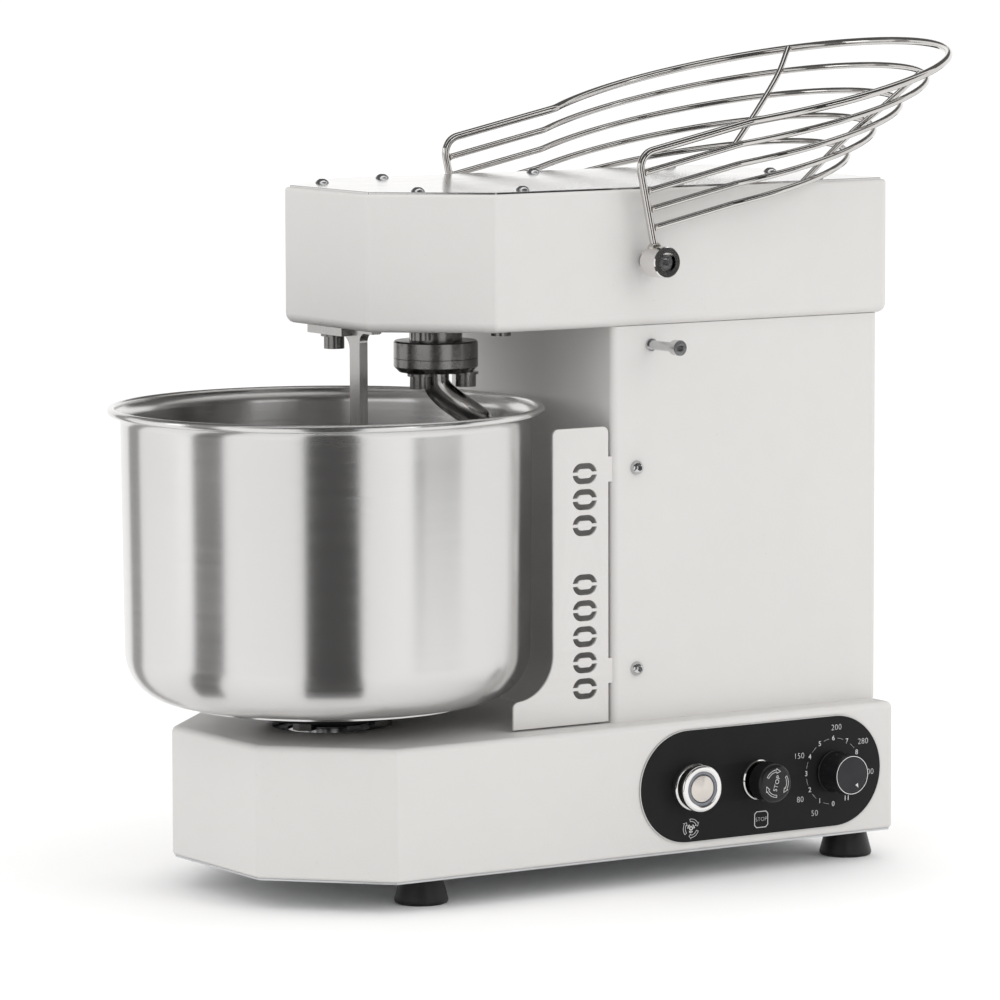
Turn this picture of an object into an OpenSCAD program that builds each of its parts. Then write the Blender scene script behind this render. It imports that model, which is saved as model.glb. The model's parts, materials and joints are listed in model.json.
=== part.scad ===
// Table-top spiral dough mixer: fixed head, turning bowl, spiral hook,
// breaker bar, tilting wire guard and a side control panel.
// X is the width, -Y is the bowl side, +Z is up, Z = 0 is the bench.

/* [Base] */
// Width of the base
base_w = 233; // [228:1:240]
// Length of the base from front to rear
base_len = 444; // [440:1:450]
// Height of the base housing without its feet
base_h = 84.5; // [82:0.5:88]
// Y of the front face of the base
base_front = -243.5; // [-246:0.5:-242]
// Length of each 45 degree front corner, along X and along Y
base_cut = 63.5; // [58:0.5:66]
// Height of the rubber feet
foot_h = 19; // [16:0.5:24]
// Radius of the soft vertical edges of the housings
edge_r = 4; // [3:0.5:8]

/* [Column] */
// Width of the column
col_w = 194; // [190:1:200]
// Y of the front face of the column
col_front = -6.5; // [-8:0.5:-5]
// Height of the column
col_h = 252.5; // [250:0.5:256]

/* [Head] */
// Width of the head
head_w = 203; // [201:1:206]
// Height of the head housing
head_h = 86.5; // [84:0.5:90]
// Y of the front face of the head
head_front = -159.5; // [-161:0.5:-158]
// Y of the rear face of the head
head_rear = 205.5; // [203:0.5:208]
// Thickness of the painted steel sheet
sheet = 2; // [1.5:0.5:2.5]

/* [Bowl] */
// Radius of the bowl body just under the rim
bowl_r = 130; // [126:1:130]
// Y of the bowl axis
bowl_y = -159.2; // [-160:0.2:-159]
// Z of the underside of the bowl
bowl_bottom = 121; // [120:0.5:122]
// Z of the centre of the rim bead
bowl_top = 304.8; // [300:0.2:306]
// Radius of the corner between wall and bottom
bowl_corner = 32; // [28:1:34]

/* [Spiral] */
// Y of the spiral axis
spiral_y = -77.5; // [-79:0.5:-77]
// Radius of the hook centreline
hook_r = 36; // [30:1:36]
// Diameter of the hook bar
hook_d = 17; // [14:0.5:17]
// Radius of the two shaft flanges
flange_r = 27; // [25:0.5:30]

/* [Guard] */
// Y of the guard pivot
pivot_y = 15; // [14.5:0.5:15.5]
// Z of the guard pivot
pivot_z = 397.5; // [396:0.5:399]
// Backward tilt of the open guard in degrees
guard_tilt = 12; // [12:0.5:14]
// Distance of each arm from the middle plane
arm_x = 115; // [114:0.5:116]
// Diameter of the arm and outer ring wire
arm_d = 5; // [4:0.5:5.5]
// Diameter of the inner ring wire
ring_d = 4; // [3:0.5:4.5]

/* [Controls] */
// Outer diameter of the start button
button_d = 30; // [28:0.5:31]
// Outer diameter of the emergency stop head
estop_d = 25.6; // [24:0.2:27]
// Outer diameter of the speed dial
dial_d = 26; // [23:0.2:28]

/* [Hidden] */
$fn = 64;

base_rear = base_front + base_len;
base_bottom = foot_h;
base_top = foot_h + base_h;
col_top = base_top + col_h;
head_top = col_top + head_h;
head_cut_x = 51.7;
head_cut_y = 63;
lid_t = 1.3;
lid_inset = 2.9;
lip_w = 26;
panel_t = 1;
side_x = base_w / 2;
panel_face = side_x + panel_t;
plate_t = 1.2;
panel_r = 36.6;
panel_front = 36.9;
panel_rear = 152.7;
panel_z = 61.8;
button_y = 39.5;
estop_y = 91;
dial_y = 151.2;
layshaft_y = 35;
motor_y = 125;
fit = 0.05;

module along_x() {
    rotate([0, 90, 0]) children();
}

module mirror_x() {
    children();
    mirror([1, 0, 0]) children();
}

// Unit normal of the edge a to b that points into a counter-clockwise outline
function inward(a, b) = [a[1] - b[1], b[0] - a[0]] / norm(b - a);

// Corner of an outline moved in by r from both of its edges
function inner_corner(a, b, c, r) =
    let (n1 = inward(a, b), n2 = inward(b, c)) b + (n1 + n2) * r / (1 + n1 * n2);

function inner_corners(p, r) =
    let (n = len(p)) [for (i = [0 : n - 1]) inner_corner(p[(i + n - 1) % n], p[i], p[(i + 1) % n], r)];

// A convex counter-clockwise outline with true round corners, moved in by inset
module round_outline(sharp, r, inset) {
    corners = inner_corners(sharp, r);
    reach = r - inset;
    polygon(corners);
    for (i = [0 : len(corners) - 1]) {
        a = corners[i];
        b = corners[(i + 1) % len(corners)];
        out = -inward(a, b) * reach;
        translate(a) circle(r = reach);
        polygon([a, a + out, b + out, b]);
    }
}

// Sharp outline of a housing of half width x with two cut front corners
function cut_outline(x, front, rear, cut_x, cut_y) =
    [[cut_x - x, front], [x - cut_x, front], [x, front + cut_y], [x, rear], [-x, rear], [-x, front + cut_y]];

base_outline = cut_outline(base_w / 2, base_front, base_rear, base_cut, base_cut);
head_outline = cut_outline(head_w / 2, head_front, head_rear, head_cut_x, head_cut_y);

module base_plan(inset) {
    round_outline(base_outline, edge_r, inset);
}

module head_plan(inset) {
    round_outline(head_outline, edge_r, inset);
}

module col_plan(inset) {
    x = col_w / 2;
    round_outline([[-x, col_front], [x, col_front], [x, base_rear], [-x, base_rear]], edge_r, inset);
}

module slab(x0, x1, y0, y1, z0, z1) {
    translate([x0, y0, z0]) cube([x1 - x0, y1 - y0, z1 - z0]);
}

module tube(ro, ri, z0, z1) {
    translate([0, 0, z0]) difference() {
        cylinder(r = ro, h = z1 - z0);
        translate([0, 0, -1]) cylinder(r = ri, h = z1 - z0 + 2);
    }
}

module post(r, z0, z1) {
    translate([0, 0, z0]) cylinder(r = r, h = z1 - z0);
}

// Round bar of radius r between two points
module rod(a, b, r) {
    d = b - a;
    translate(a) rotate([0, acos(d[2] / norm(d)), atan2(d[1], d[0])]) cylinder(r = r, h = norm(d));
}

// Socket head screw: head on +Z of the origin, shank below it
module socket_screw(d, shank) {
    difference() {
        cylinder(r = d * 0.82, h = d);
        translate([0, 0, d * 0.45]) cylinder(r = d * 0.47, h = d, $fn = 6);
    }
    translate([0, 0, -shank]) cylinder(r = d / 2, h = shank);
}

// Low dome head screw with a socket
module dome_screw(head_r, head_h, shank_r, shank) {
    ball_r = (head_r * head_r + head_h * head_h) / (2 * head_h);
    difference() {
        intersection() {
            translate([0, 0, head_h - ball_r]) sphere(r = ball_r);
            cylinder(r = head_r, h = head_h);
        }
        translate([0, 0, head_h * 0.4]) cylinder(r = head_r * 0.42, h = head_h, $fn = 6);
    }
    translate([0, 0, -shank]) cylinder(r = shank_r, h = shank);
}

// ---- base ----

foot_places = [[84, -142.5], [-84, -142.5], [86, 184], [-86, 184]];

module base_housing() {
    color([0.9, 0.9, 0.88]) difference() {
        translate([0, 0, base_bottom + plate_t]) linear_extrude(base_h - plate_t) base_plan(0);
        translate([0, 0, base_bottom]) linear_extrude(base_h - sheet) base_plan(sheet);
        translate([0, bowl_y, 0]) post(36, base_top - 5, base_top + 1);
        translate([0, layshaft_y, 0]) post(25.1, base_top - 5, base_top + 1);
        slab(-60, 60, 75, 180, base_top - 5, base_top + 1);
        translate([side_x - 5, button_y, panel_z]) along_x() cylinder(r = 11.1, h = 10);
        translate([side_x - 5, estop_y, panel_z]) along_x() cylinder(r = 11.1, h = 10);
        translate([side_x - 5, dial_y, panel_z]) along_x() cylinder(r = 4.1, h = 10);
        translate([gland_x, base_rear - 5, gland_z]) rotate([-90, 0, 0]) cylinder(r = 8, h = 10);
    }
}

module base_plate() {
    color([0.75, 0.75, 0.76]) difference() {
        translate([0, 0, base_bottom]) linear_extrude(plate_t) base_plan(1.5);
        for (p = foot_places) translate([p[0], p[1], base_bottom - 1]) cylinder(r = 3.2, h = 4);
    }
}

module feet() {
    color([0.06, 0.06, 0.06]) for (p = foot_places) translate([p[0], p[1], 0]) difference() {
        rotate_extrude() difference() {
            polygon([[0, 0], [15.8, 0], [17, 1.2], [17, 3], [13, foot_h - 1], [12, foot_h], [0, foot_h]]);
            square([8, 6]);
        }
        translate([0, 0, -1]) cylinder(r = 3.2, h = foot_h + 2);
    }
}

module foot_screws() {
    color([0.7, 0.7, 0.7]) for (p = foot_places) translate([p[0], p[1], 6]) {
        translate([0, 0, -4]) cylinder(r = 6, h = 4);
        cylinder(r = 3, h = foot_h + 2);
    }
}

// ---- column ----

cover_w = 160;
cover_low = base_top + 22;
cover_high = col_top - 22;
screw_low = base_top + 33.8;
screw_high = base_top + 162.3;
screw_y = 11.5;
tab_x = col_w / 2 - sheet;

module column_housing() {
    color([0.9, 0.9, 0.88]) difference() {
        translate([0, 0, base_top]) linear_extrude(col_h) col_plan(0);
        translate([0, 0, base_top - 1]) linear_extrude(col_h + 2) col_plan(sheet);
        slab(-cover_w / 2 + 8, cover_w / 2 - 8, base_rear - 5, base_rear + 1, cover_low + 8, cover_high - 8);
        for (x = [-1, 1], z = [cover_low + 4, cover_high - 4]) {
            translate([x * (cover_w / 2 - 4), base_rear + 1, z]) rotate([90, 0, 0]) cylinder(r = 2, h = 5);
        }
        mirror_x() {
            for (z = [screw_low, screw_high]) {
                translate([tab_x - 1, screw_y, z]) along_x() cylinder(r = 2.5, h = 5);
                slab(tab_x - sheet - 0.1, tab_x + 0.1, col_front - 1, col_front + 7, z - 8.5, z + 8.5);
            }
            translate([tab_x - 1, stop_y, stop_z]) along_x() cylinder(r = 3, h = 5);
        }
    }
}

module rear_cover() {
    color([0.9, 0.9, 0.88]) difference() {
        slab(-cover_w / 2, cover_w / 2, base_rear, base_rear + 1.5, cover_low, cover_high);
        for (x = [-38, 38], i = [0 : 11]) {
            z = cover_low + 30 + i * 9;
            slab(x - 24, x + 24, base_rear - 1, base_rear + 3, z, z + 4);
            for (end = [-24, 24]) translate([x + end, base_rear + 3, z + 2]) rotate([90, 0, 0]) cylinder(r = 2, h = 4);
        }
        for (x = [-1, 1], z = [cover_low + 4, cover_high - 4]) {
            translate([x * (cover_w / 2 - 4), base_rear + 3, z]) rotate([90, 0, 0]) cylinder(r = 2, h = 5);
        }
    }
}

module rear_cover_screws() {
    color([0.75, 0.75, 0.76]) for (x = [-1, 1], z = [cover_low + 4, cover_high - 4]) {
        translate([x * (cover_w / 2 - 4), base_rear + 1.5, z]) rotate([-90, 0, 0]) dome_screw(3.8, 2.2, 2, 6);
    }
}

plate_front = -50.2;
plate_rear = -8.5;
plate_toe = -80.4;
plate_low = base_top + 1.2;
plate_high = base_top + 189.5;
toe_h = 17.5;
sweep_r = 28.3;

// Plain stencil mark: a flattened ring held by a bridge
module stencil_ring(half) {
    for (y = [-2.5, 2.5]) translate([y, 0]) circle(r = half);
    translate([-2.5, -half]) square([5, 2 * half]);
}

module stencil(z) {
    difference() {
        translate([0, z]) stencil_ring(6.6);
        translate([0, z]) stencil_ring(3);
        translate([-10, z - 1]) square([20, 2]);
    }
}

module side_plates() {
    corner = 4;
    color([0.9, 0.9, 0.88]) mirror_x() translate([tab_x - sheet, 0, 0]) rotate([90, 0, 90])
        linear_extrude(sheet) {
            difference() {
                union() {
                    translate([plate_front, plate_low]) square([plate_rear - plate_front, plate_high - plate_low - corner]);
                    translate([plate_front + corner, plate_low])
                        square([plate_rear - plate_front - 2 * corner, plate_high - plate_low]);
                    translate([plate_front + corner, plate_high - corner]) circle(r = corner);
                    translate([plate_rear - corner, plate_high - corner]) circle(r = corner);
                    translate([plate_toe, plate_low]) square([plate_front - plate_toe, toe_h - corner]);
                    translate([plate_toe + corner, plate_low]) square([plate_front - plate_toe - corner, toe_h]);
                    translate([plate_toe + corner, plate_low + toe_h - corner]) circle(r = corner);
                    difference() {
                        translate([plate_front - sweep_r, plate_low + toe_h]) square(sweep_r);
                        translate([plate_front - sweep_r, plate_low + toe_h + sweep_r]) circle(r = sweep_r);
                    }
                }
                for (z = [23.5, 40.1, 56.7, 73.3, 89.9, 127.5, 144, 160.5]) {
                    translate([(plate_front + plate_rear) / 2 + 3, 0]) stencil(base_top + z);
                }
            }
            for (z = [screw_low, screw_high]) difference() {
                translate([plate_rear, z - 8]) square([screw_y + 8 - plate_rear, 16]);
                translate([screw_y, z]) circle(r = 2.5);
            }
        }
}

module column_screws() {
    color([0.75, 0.75, 0.76]) mirror_x() for (z = [screw_low, screw_high]) {
        translate([col_w / 2, screw_y, z]) along_x() dome_screw(4.6, 4.4, 2.5, 6);
    }
}

stop_y = pivot_y + 7.5;
stop_z = pivot_z - 54;
stop_len = 27;

module stop_bolts() {
    color([0.7, 0.7, 0.72]) mirror_x() translate([col_w / 2 + stop_len, stop_y, stop_z]) along_x() {
        socket_screw(6, stop_len + 4);
        translate([0, 0, -stop_len]) cylinder(r = 4, h = 1.5);
    }
}

// ---- head ----

lid_screw_half = [[58, -126.5], [84, -65.5], [84, 51.5], [84, 160.5]];
lid_screw_places = concat(lid_screw_half, [for (p = lid_screw_half) [-p[0], p[1]]], [[0, 183.5]]);
housing_bolt = 30;

module at_housing_bolts() {
    for (x = [-housing_bolt, housing_bolt], y = [-housing_bolt, housing_bolt]) {
        translate([x, spiral_y + y, 0]) children();
    }
}

module head_housing() {
    color([0.9, 0.9, 0.88]) difference() {
        translate([0, 0, col_top]) linear_extrude(head_h) head_plan(0);
        translate([0, 0, col_top + sheet]) linear_extrude(head_h - 2 * sheet) head_plan(sheet);
        translate([0, 0, head_top - 3]) linear_extrude(5) polygon(inner_corners(head_outline, lip_w));
        translate([0, spiral_y, 0]) post(26, col_top - 1, col_top + 3);
        slab(-70, 70, 12, 180, col_top - 1, col_top + 3);
        at_housing_bolts() post(4, col_top - 1, col_top + 3);
        translate([breaker_bolt_x, breaker_y + breaker_t / 2, 0]) post(4, col_top - 1, col_top + 3);
        for (p = lid_screw_places) translate([p[0], p[1], head_top - 4]) cylinder(r = 2, h = 5);
        mirror_x() translate([head_w / 2 - 4, pivot_y, pivot_z]) along_x() cylinder(r = 3, h = 8);
    }
}

module head_lid() {
    color([0.85, 0.86, 0.87]) difference() {
        translate([0, 0, head_top]) linear_extrude(lid_t) head_plan(lid_inset);
        for (p = lid_screw_places) translate([p[0], p[1], head_top - 1]) cylinder(r = 2, h = 4);
    }
}

module lid_screws() {
    color([0.7, 0.7, 0.72]) for (p = lid_screw_places) {
        translate([p[0], p[1], head_top + lid_t]) dome_screw(4.6, 2.8, 2, 5);
    }
}

// ---- breaker bar ----

breaker_w = 12;
breaker_t = 6;
breaker_y = -138.1;
breaker_low = bowl_bottom + 14;
breaker_reach = 48;
breaker_bolt_x = -30;
breaker_bend = 9;

module breaker_bar() {
    top = col_top - 6.5;
    color([0.75, 0.75, 0.76]) translate([0, breaker_y, 0]) difference() {
        union() {
            slab(-breaker_w / 2, breaker_w / 2, 0, breaker_t, breaker_low, col_top);
            slab(-breaker_reach, -breaker_w / 2, -6, breaker_t + 6, top, col_top);
            slab(breaker_w / 2, breaker_w / 2 + 15, 0, breaker_t, col_top - 4, col_top);
            difference() {
                slab(breaker_w / 2, breaker_w / 2 + 6, 0, breaker_t, col_top - 10, col_top - 4);
                translate([breaker_w / 2 + 6, breaker_t + 1, col_top - 10])
                    rotate([90, 0, 0]) cylinder(r = 6, h = breaker_t + 2);
            }
            difference() {
                slab(-breaker_w / 2 - breaker_bend, -breaker_w / 2, 0, breaker_t, top - breaker_bend, top);
                translate([-breaker_w / 2 - breaker_bend, breaker_t + 1, top - breaker_bend])
                    rotate([90, 0, 0]) cylinder(r = breaker_bend, h = breaker_t + 2);
            }
        }
        translate([breaker_bolt_x, breaker_t / 2, top - 1]) cylinder(r = 4, h = 9);
    }
}

module breaker_bolt() {
    color([0.4, 0.4, 0.42]) translate([breaker_bolt_x, breaker_y + breaker_t / 2, col_top - 6.5]) rotate([180, 0, 0]) {
        difference() {
            cylinder(r = 8.5, h = 1.6);
            translate([0, 0, -1]) cylinder(r = 4, h = 4);
        }
        translate([0, 0, 1.6]) socket_screw(8, 18);
    }
}

// ---- spiral drive in the head ----

module spiral_housing() {
    color([0.45, 0.46, 0.48]) translate([0, spiral_y, 0]) difference() {
        union() {
            slab(-42, 42, -42, 42, col_top + sheet, col_top + 10);
            post(32, col_top + 10, col_top + 36);
        }
        post(26, col_top + 4, col_top + 40);
        post(20, col_top, col_top + 5);
        for (x = [-housing_bolt, housing_bolt], y = [-housing_bolt, housing_bolt]) {
            translate([x, y, 0]) post(4, col_top, col_top + 12);
        }
    }
}

module housing_bolts() {
    color([0.3, 0.3, 0.32]) at_housing_bolts() translate([0, 0, col_top]) rotate([180, 0, 0]) socket_screw(8, 9);
}

module bearing_pair(ro, ri, z0, h, gap) {
    for (z = [z0, z0 + h + gap]) tube(ro, ri, z, z + h);
}

module spiral_bearings() {
    color([0.7, 0.7, 0.72]) translate([0, spiral_y, 0]) bearing_pair(26, 12.5 + fit, col_top + 4, 15, 2);
}

// Pulley with a rim at each end; the belt runs between the rims
module pulley(r, bore, z0, h) {
    translate([0, 0, z0]) difference() {
        union() {
            cylinder(r = r, h = h);
            cylinder(r = r + 4, h = 2);
            translate([0, 0, h - 2]) cylinder(r = r + 4, h = 2);
        }
        translate([0, 0, -1]) cylinder(r = bore, h = h + 2);
    }
}

// Filled outline round two pulleys, ra at y1 and rb at y2, with y1 below y2
module belt_fill(y1, ra, y2, rb) {
    s = (ra - rb) / (y2 - y1);
    c = sqrt(1 - s * s);
    translate([0, y1]) circle(r = ra);
    translate([0, y2]) circle(r = rb);
    polygon([
        [-ra * c, y1 + ra * s], [ra * c, y1 + ra * s], [rb * c, y2 + rb * s], [-rb * c, y2 + rb * s]
    ]);
}

module belt_loop(y1, ra, y2, rb, z0, h) {
    gap = 0.3;
    thick = 3;
    color([0.08, 0.08, 0.08]) translate([0, 0, z0 + 2.5]) linear_extrude(h - 5) difference() {
        belt_fill(y1, ra + gap + thick, y2, rb + gap + thick);
        belt_fill(y1, ra + gap, y2, rb + gap);
    }
}

low_z = foot_h + 19;
drive_z = col_top + 10;
spiral_z = col_top + 40;
pulley_h = 18;
spiral_pulley_r = 28;
lay_spiral_r = 30;
lay_drive_r = 60;
lay_bowl_r = 14;
bowl_pulley_r = 76;
motor_pulley_r = 18;

module drive_belt() {
    belt_loop(layshaft_y, lay_drive_r, motor_y, motor_pulley_r, drive_z, pulley_h);
}

module spiral_belt() {
    belt_loop(spiral_y, spiral_pulley_r, layshaft_y, lay_spiral_r, spiral_z, pulley_h);
}

module bowl_belt() {
    belt_loop(bowl_y, bowl_pulley_r, layshaft_y, lay_bowl_r, low_z, pulley_h);
}

module spiral_pulley() {
    color([0.6, 0.6, 0.62]) translate([0, spiral_y, 0]) pulley(spiral_pulley_r, 12.5, spiral_z, pulley_h);
}

flange_top = col_top - 11.5;
flange_mid = flange_top - 11;
flange_low = flange_mid - 9;
flange_bolt_r = 19;

module spiral_shaft() {
    color([0.7, 0.7, 0.72]) translate([0, spiral_y, 0]) {
        post(12.5, flange_top - 8, spiral_z + pulley_h + 3);
        post(17, flange_top, col_top - 1.5);
    }
}

module at_flange_bolts() {
    for (a = [56 : 120 : 360]) translate([flange_bolt_r * cos(a), spiral_y + flange_bolt_r * sin(a), 0]) children();
}

module upper_flange() {
    color([0.3, 0.3, 0.32]) difference() {
        translate([0, spiral_y, flange_mid]) rotate_extrude()
            polygon([[0, 0], [flange_r, 0], [flange_r, 10], [flange_r - 1, 11], [0, 11]]);
        translate([0, spiral_y, 0]) post(12.5, flange_top - 8, flange_top + 1);
        at_flange_bolts() post(4, flange_mid - 1, flange_top - 2);
    }
}

module lower_flange() {
    color([0.3, 0.3, 0.32]) difference() {
        translate([0, spiral_y, flange_low]) rotate_extrude()
            polygon([[0, 0], [flange_r - 3.5, 0], [flange_r, 3.5], [flange_r, 8.6], [flange_r - 0.4, 9], [0, 9]]);
        at_flange_bolts() post(4, flange_low - 1, flange_mid + 1);
    }
}

module flange_bolts() {
    color([0.35, 0.35, 0.37]) at_flange_bolts() translate([0, 0, flange_low]) rotate([180, 0, 0]) {
        translate([0, 0, 1.6]) socket_screw(8, 18);
        tube(8.2, 4, 0, 1.6);
    }
}

// Hook centreline: straight down, out to hook_r, round the axis once, then in to a tail
hook_low = bowl_bottom + 15;
hook_start = 56;
hook_turn = 400;
function ease(t) = let (u = min(1, max(0, t))) u * u * (3 - 2 * u);
function hook_reach(t) = hook_r * ease((t - 0.03) / 0.2) - 0.6 * hook_r * ease((t - 0.88) / 0.12);
function hook_angle(t) = hook_start + hook_turn * max(0, t - 0.1) / 0.9 * ease((t - 0.06) / 0.2);
function hook_point(t) =
    let (a = hook_angle(t), r = hook_reach(t)) [r * cos(a), r * sin(a), flange_low + (hook_low - flange_low) * t];
function hook_way(t) =
    let (d = hook_point(min(1, t + 0.002)) - hook_point(max(0, t - 0.002))) d / norm(d);
function hook_side(t) =
    let (a = hook_angle(t), s = cross(hook_way(t), [cos(a), sin(a), 0])) s / norm(s);

module spiral_hook() {
    rings = 54;
    sides = 14;
    points = [for (i = [0 : rings], j = [0 : sides - 1])
        let (t = i / rings, way = i == 0 ? [0, 0, -1] : hook_way(t), side = hook_side(t),
             up = cross(side, way), a = 360 * j / sides)
        hook_point(t) + hook_d / 2 * (cos(a) * side + sin(a) * up)];
    walls = [for (i = [0 : rings - 1], j = [0 : sides - 1])
        let (k = (j + 1) % sides) [i * sides + j, (i + 1) * sides + j, (i + 1) * sides + k, i * sides + k]];
    start = [for (j = [0 : sides - 1]) j];
    end = [for (j = [sides - 1 : -1 : 0]) rings * sides + j];
    color([0.6, 0.6, 0.62]) translate([0, spiral_y, 0]) {
        polyhedron(points = points, faces = concat([start], walls, [end]));
    }
}

// ---- layshaft and motor ----

module layshaft_blocks() {
    color([0.45, 0.46, 0.48]) translate([0, layshaft_y, 0]) difference() {
        union() {
            slab(-col_w / 2 + sheet, col_w / 2 - sheet, -26, 26, col_top - 8, col_top);
            post(24, col_top - 20, col_top - 8);
            slab(-40, 40, -26, 26, base_top - sheet - 6, base_top - sheet);
            post(24, base_top - sheet - 18, base_top - sheet - 6);
        }
        post(17.5, col_top - 21, col_top + 1);
        post(17.5, base_top - 30, base_top + 1);
    }
}

module layshaft_bearings() {
    color([0.7, 0.7, 0.72]) translate([0, layshaft_y, 0]) {
        tube(17.5, 7.5 + fit, col_top - 19, col_top - 8);
        tube(17.5, 7.5 + fit, base_top - sheet - 17, base_top - sheet - 6);
    }
}

module layshaft() {
    color([0.65, 0.65, 0.67]) translate([0, layshaft_y, 0]) {
        post(7.5, low_z - 4, spiral_z + pulley_h + 4);
        pulley(lay_bowl_r, 7, low_z, pulley_h);
        pulley(lay_drive_r, 7, drive_z, pulley_h);
        pulley(lay_spiral_r, 7, spiral_z, pulley_h);
    }
}

motor_low = base_top + 50;
motor_high = base_top + 215;

module motor() {
    color([0.25, 0.3, 0.36]) translate([0, motor_y, 0]) difference() {
        union() {
            post(54, motor_low + 26, motor_high - 12);
            post(58, motor_low, motor_low + 26);
            post(58, motor_high - 12, motor_high);
            for (a = [0 : 15 : 345]) rotate([0, 0, a]) slab(53, 58, -1, 1, motor_low + 25, motor_high - 11);
        }
        post(8, motor_high - 30, motor_high + 1);
    }
}

module motor_plate() {
    color([0.6, 0.6, 0.62]) difference() {
        slab(-col_w / 2 + sheet, col_w / 2 - sheet, motor_y - 55, motor_y + 55, motor_high, motor_high + 6);
        translate([0, motor_y, 0]) post(12, motor_high - 1, motor_high + 7);
    }
}

module motor_rotor() {
    color([0.65, 0.65, 0.67]) translate([0, motor_y, 0]) {
        post(7.5, motor_high - 28, drive_z + pulley_h + 4);
        pulley(motor_pulley_r, 7, drive_z, pulley_h);
    }
}

// ---- bowl drive and bowl ----

turn_low = base_top + 7;
turn_top = bowl_bottom - 2;
bowl_bolt_r = 36;

module bowl_housing() {
    color([0.45, 0.46, 0.48]) translate([0, bowl_y, 0]) difference() {
        union() {
            post(34, low_z + pulley_h + 6, base_top - sheet);
            post(54, base_top - sheet - 5, base_top - sheet);
        }
        post(26, low_z + pulley_h + 5, base_top);
    }
}

module bowl_bearings() {
    h = (base_top - sheet - low_z - pulley_h - 10) / 2;
    color([0.7, 0.7, 0.72]) translate([0, bowl_y, 0]) bearing_pair(26, 12.5 + fit, low_z + pulley_h + 7, h, 2);
}

module bowl_shaft() {
    color([0.7, 0.7, 0.72]) translate([0, bowl_y, 0]) post(12.5, low_z - 4, turn_top - 3);
}

module bowl_pulley() {
    color([0.6, 0.6, 0.62]) translate([0, bowl_y, 0]) difference() {
        pulley(bowl_pulley_r, 12.5, low_z, pulley_h);
        for (a = [0 : 60 : 300]) rotate([0, 0, a]) translate([48, 0, 0]) post(17, low_z - 1, low_z + pulley_h + 1);
    }
}

module at_bowl_bolts() {
    for (a = [35 : 90 : 305]) translate([bowl_bolt_r * cos(a), bowl_y + bowl_bolt_r * sin(a), 0]) children();
}

module bowl_flange() {
    color([0.1, 0.1, 0.1]) difference() {
        translate([0, bowl_y, 0]) {
            post(48, turn_low, turn_top);
            post(26, turn_low - 5, turn_low);
        }
        translate([0, bowl_y, 0]) post(12.5, turn_low - 6, turn_top - 3);
        at_bowl_bolts() post(4, turn_low - 1, turn_top + 1);
    }
}

module bowl_bolts() {
    color([0.3, 0.3, 0.32]) at_bowl_bolts() {
        translate([0, 0, turn_low - 5.3]) cylinder(r = 7.5, h = 5.3, $fn = 6);
        post(4, turn_low, turn_top + 1.5);
    }
}

module bowl_base_ring() {
    color([0.8, 0.8, 0.81]) difference() {
        translate([0, bowl_y, 0]) post(93, turn_top, bowl_bottom);
        at_bowl_bolts() post(4, turn_top - 1, turn_top + 3);
    }
}

bowl_t = 1.2;
bowl_draft = 1.5;
bead_r = 2.5;
lip_r = 8;

module bowl() {
    low_r = bowl_r - bowl_draft;
    corner_z = bowl_bottom + bowl_corner;
    wall_top = bowl_top - lip_r + bead_r - 2;
    color([0.82, 0.83, 0.84]) translate([0, bowl_y, 0]) rotate_extrude($fn = 96) {
        translate([0, bowl_bottom]) square([low_r - bowl_corner, bowl_t]);
        intersection() {
            translate([low_r - bowl_corner, corner_z]) difference() {
                circle(r = bowl_corner);
                circle(r = bowl_corner - bowl_t);
            }
            translate([low_r - bowl_corner, bowl_bottom]) square(bowl_corner);
        }
        polygon([
            [low_r - bowl_t, corner_z], [low_r, corner_z], [bowl_r, wall_top], [bowl_r - bowl_t, wall_top]
        ]);
        intersection() {
            translate([bowl_r - bowl_t + lip_r, wall_top]) difference() {
                circle(r = lip_r);
                circle(r = lip_r - bowl_t);
            }
            translate([bowl_r - bowl_t, wall_top]) square([lip_r, lip_r]);
        }
        translate([bowl_r + lip_r - bead_r + 0.1, bowl_top]) circle(r = bead_r);
    }
}

// ---- controls ----

module stadium(r, y1, y2) {
    translate([y1, 0]) circle(r = r);
    translate([y2, 0]) circle(r = r);
    translate([y1, -r]) square([y2 - y1, 2 * r]);
}

module control_panel() {
    color([0.08, 0.08, 0.08]) translate([side_x, 0, panel_z]) rotate([90, 0, 90]) linear_extrude(panel_t)
        difference() {
            stadium(panel_r, panel_front, panel_rear);
            translate([button_y, 0]) circle(r = 11);
            translate([estop_y, 0]) circle(r = 11);
            translate([dial_y, 0]) circle(r = 4);
        }
}

module on_panel(y) {
    translate([panel_face, y, panel_z]) along_x() children();
}

button_out = 13.6;
led_r = 11;
cap_r = 8.8;
press = 1.5;

module button_bezel() {
    color([0.85, 0.85, 0.86]) on_panel(button_y) rotate_extrude() difference() {
        polygon([
            [0, -20], [11, -20], [11, 0], [button_d / 2, 0], [button_d / 2, 5.2], [button_d / 2 - 1.2, 5.2],
            [button_d / 2 - 1.2, 9.6], [button_d / 2, 9.6], [button_d / 2, button_out - 0.8],
            [button_d / 2 - 0.8, button_out], [0, button_out]
        ]);
        translate([0, -3]) square([cap_r + 0.3, 30]);
        translate([0, 3]) square([led_r, 30]);
        translate([0, -21]) square([3, 30]);
    }
}

module button_led_ring() {
    color([0.45, 0.46, 0.5]) on_panel(button_y) tube(led_r, cap_r + 0.3, 3, button_out - 0.3);
}

module start_button() {
    color([0.8, 0.78, 0.76]) on_panel(button_y) {
        post(cap_r, 1, button_out - 0.4);
        post(2.7, -14, 1);
    }
}

estop_out = 22;
estop_back = 8.5;
estop_travel = 4;

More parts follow.
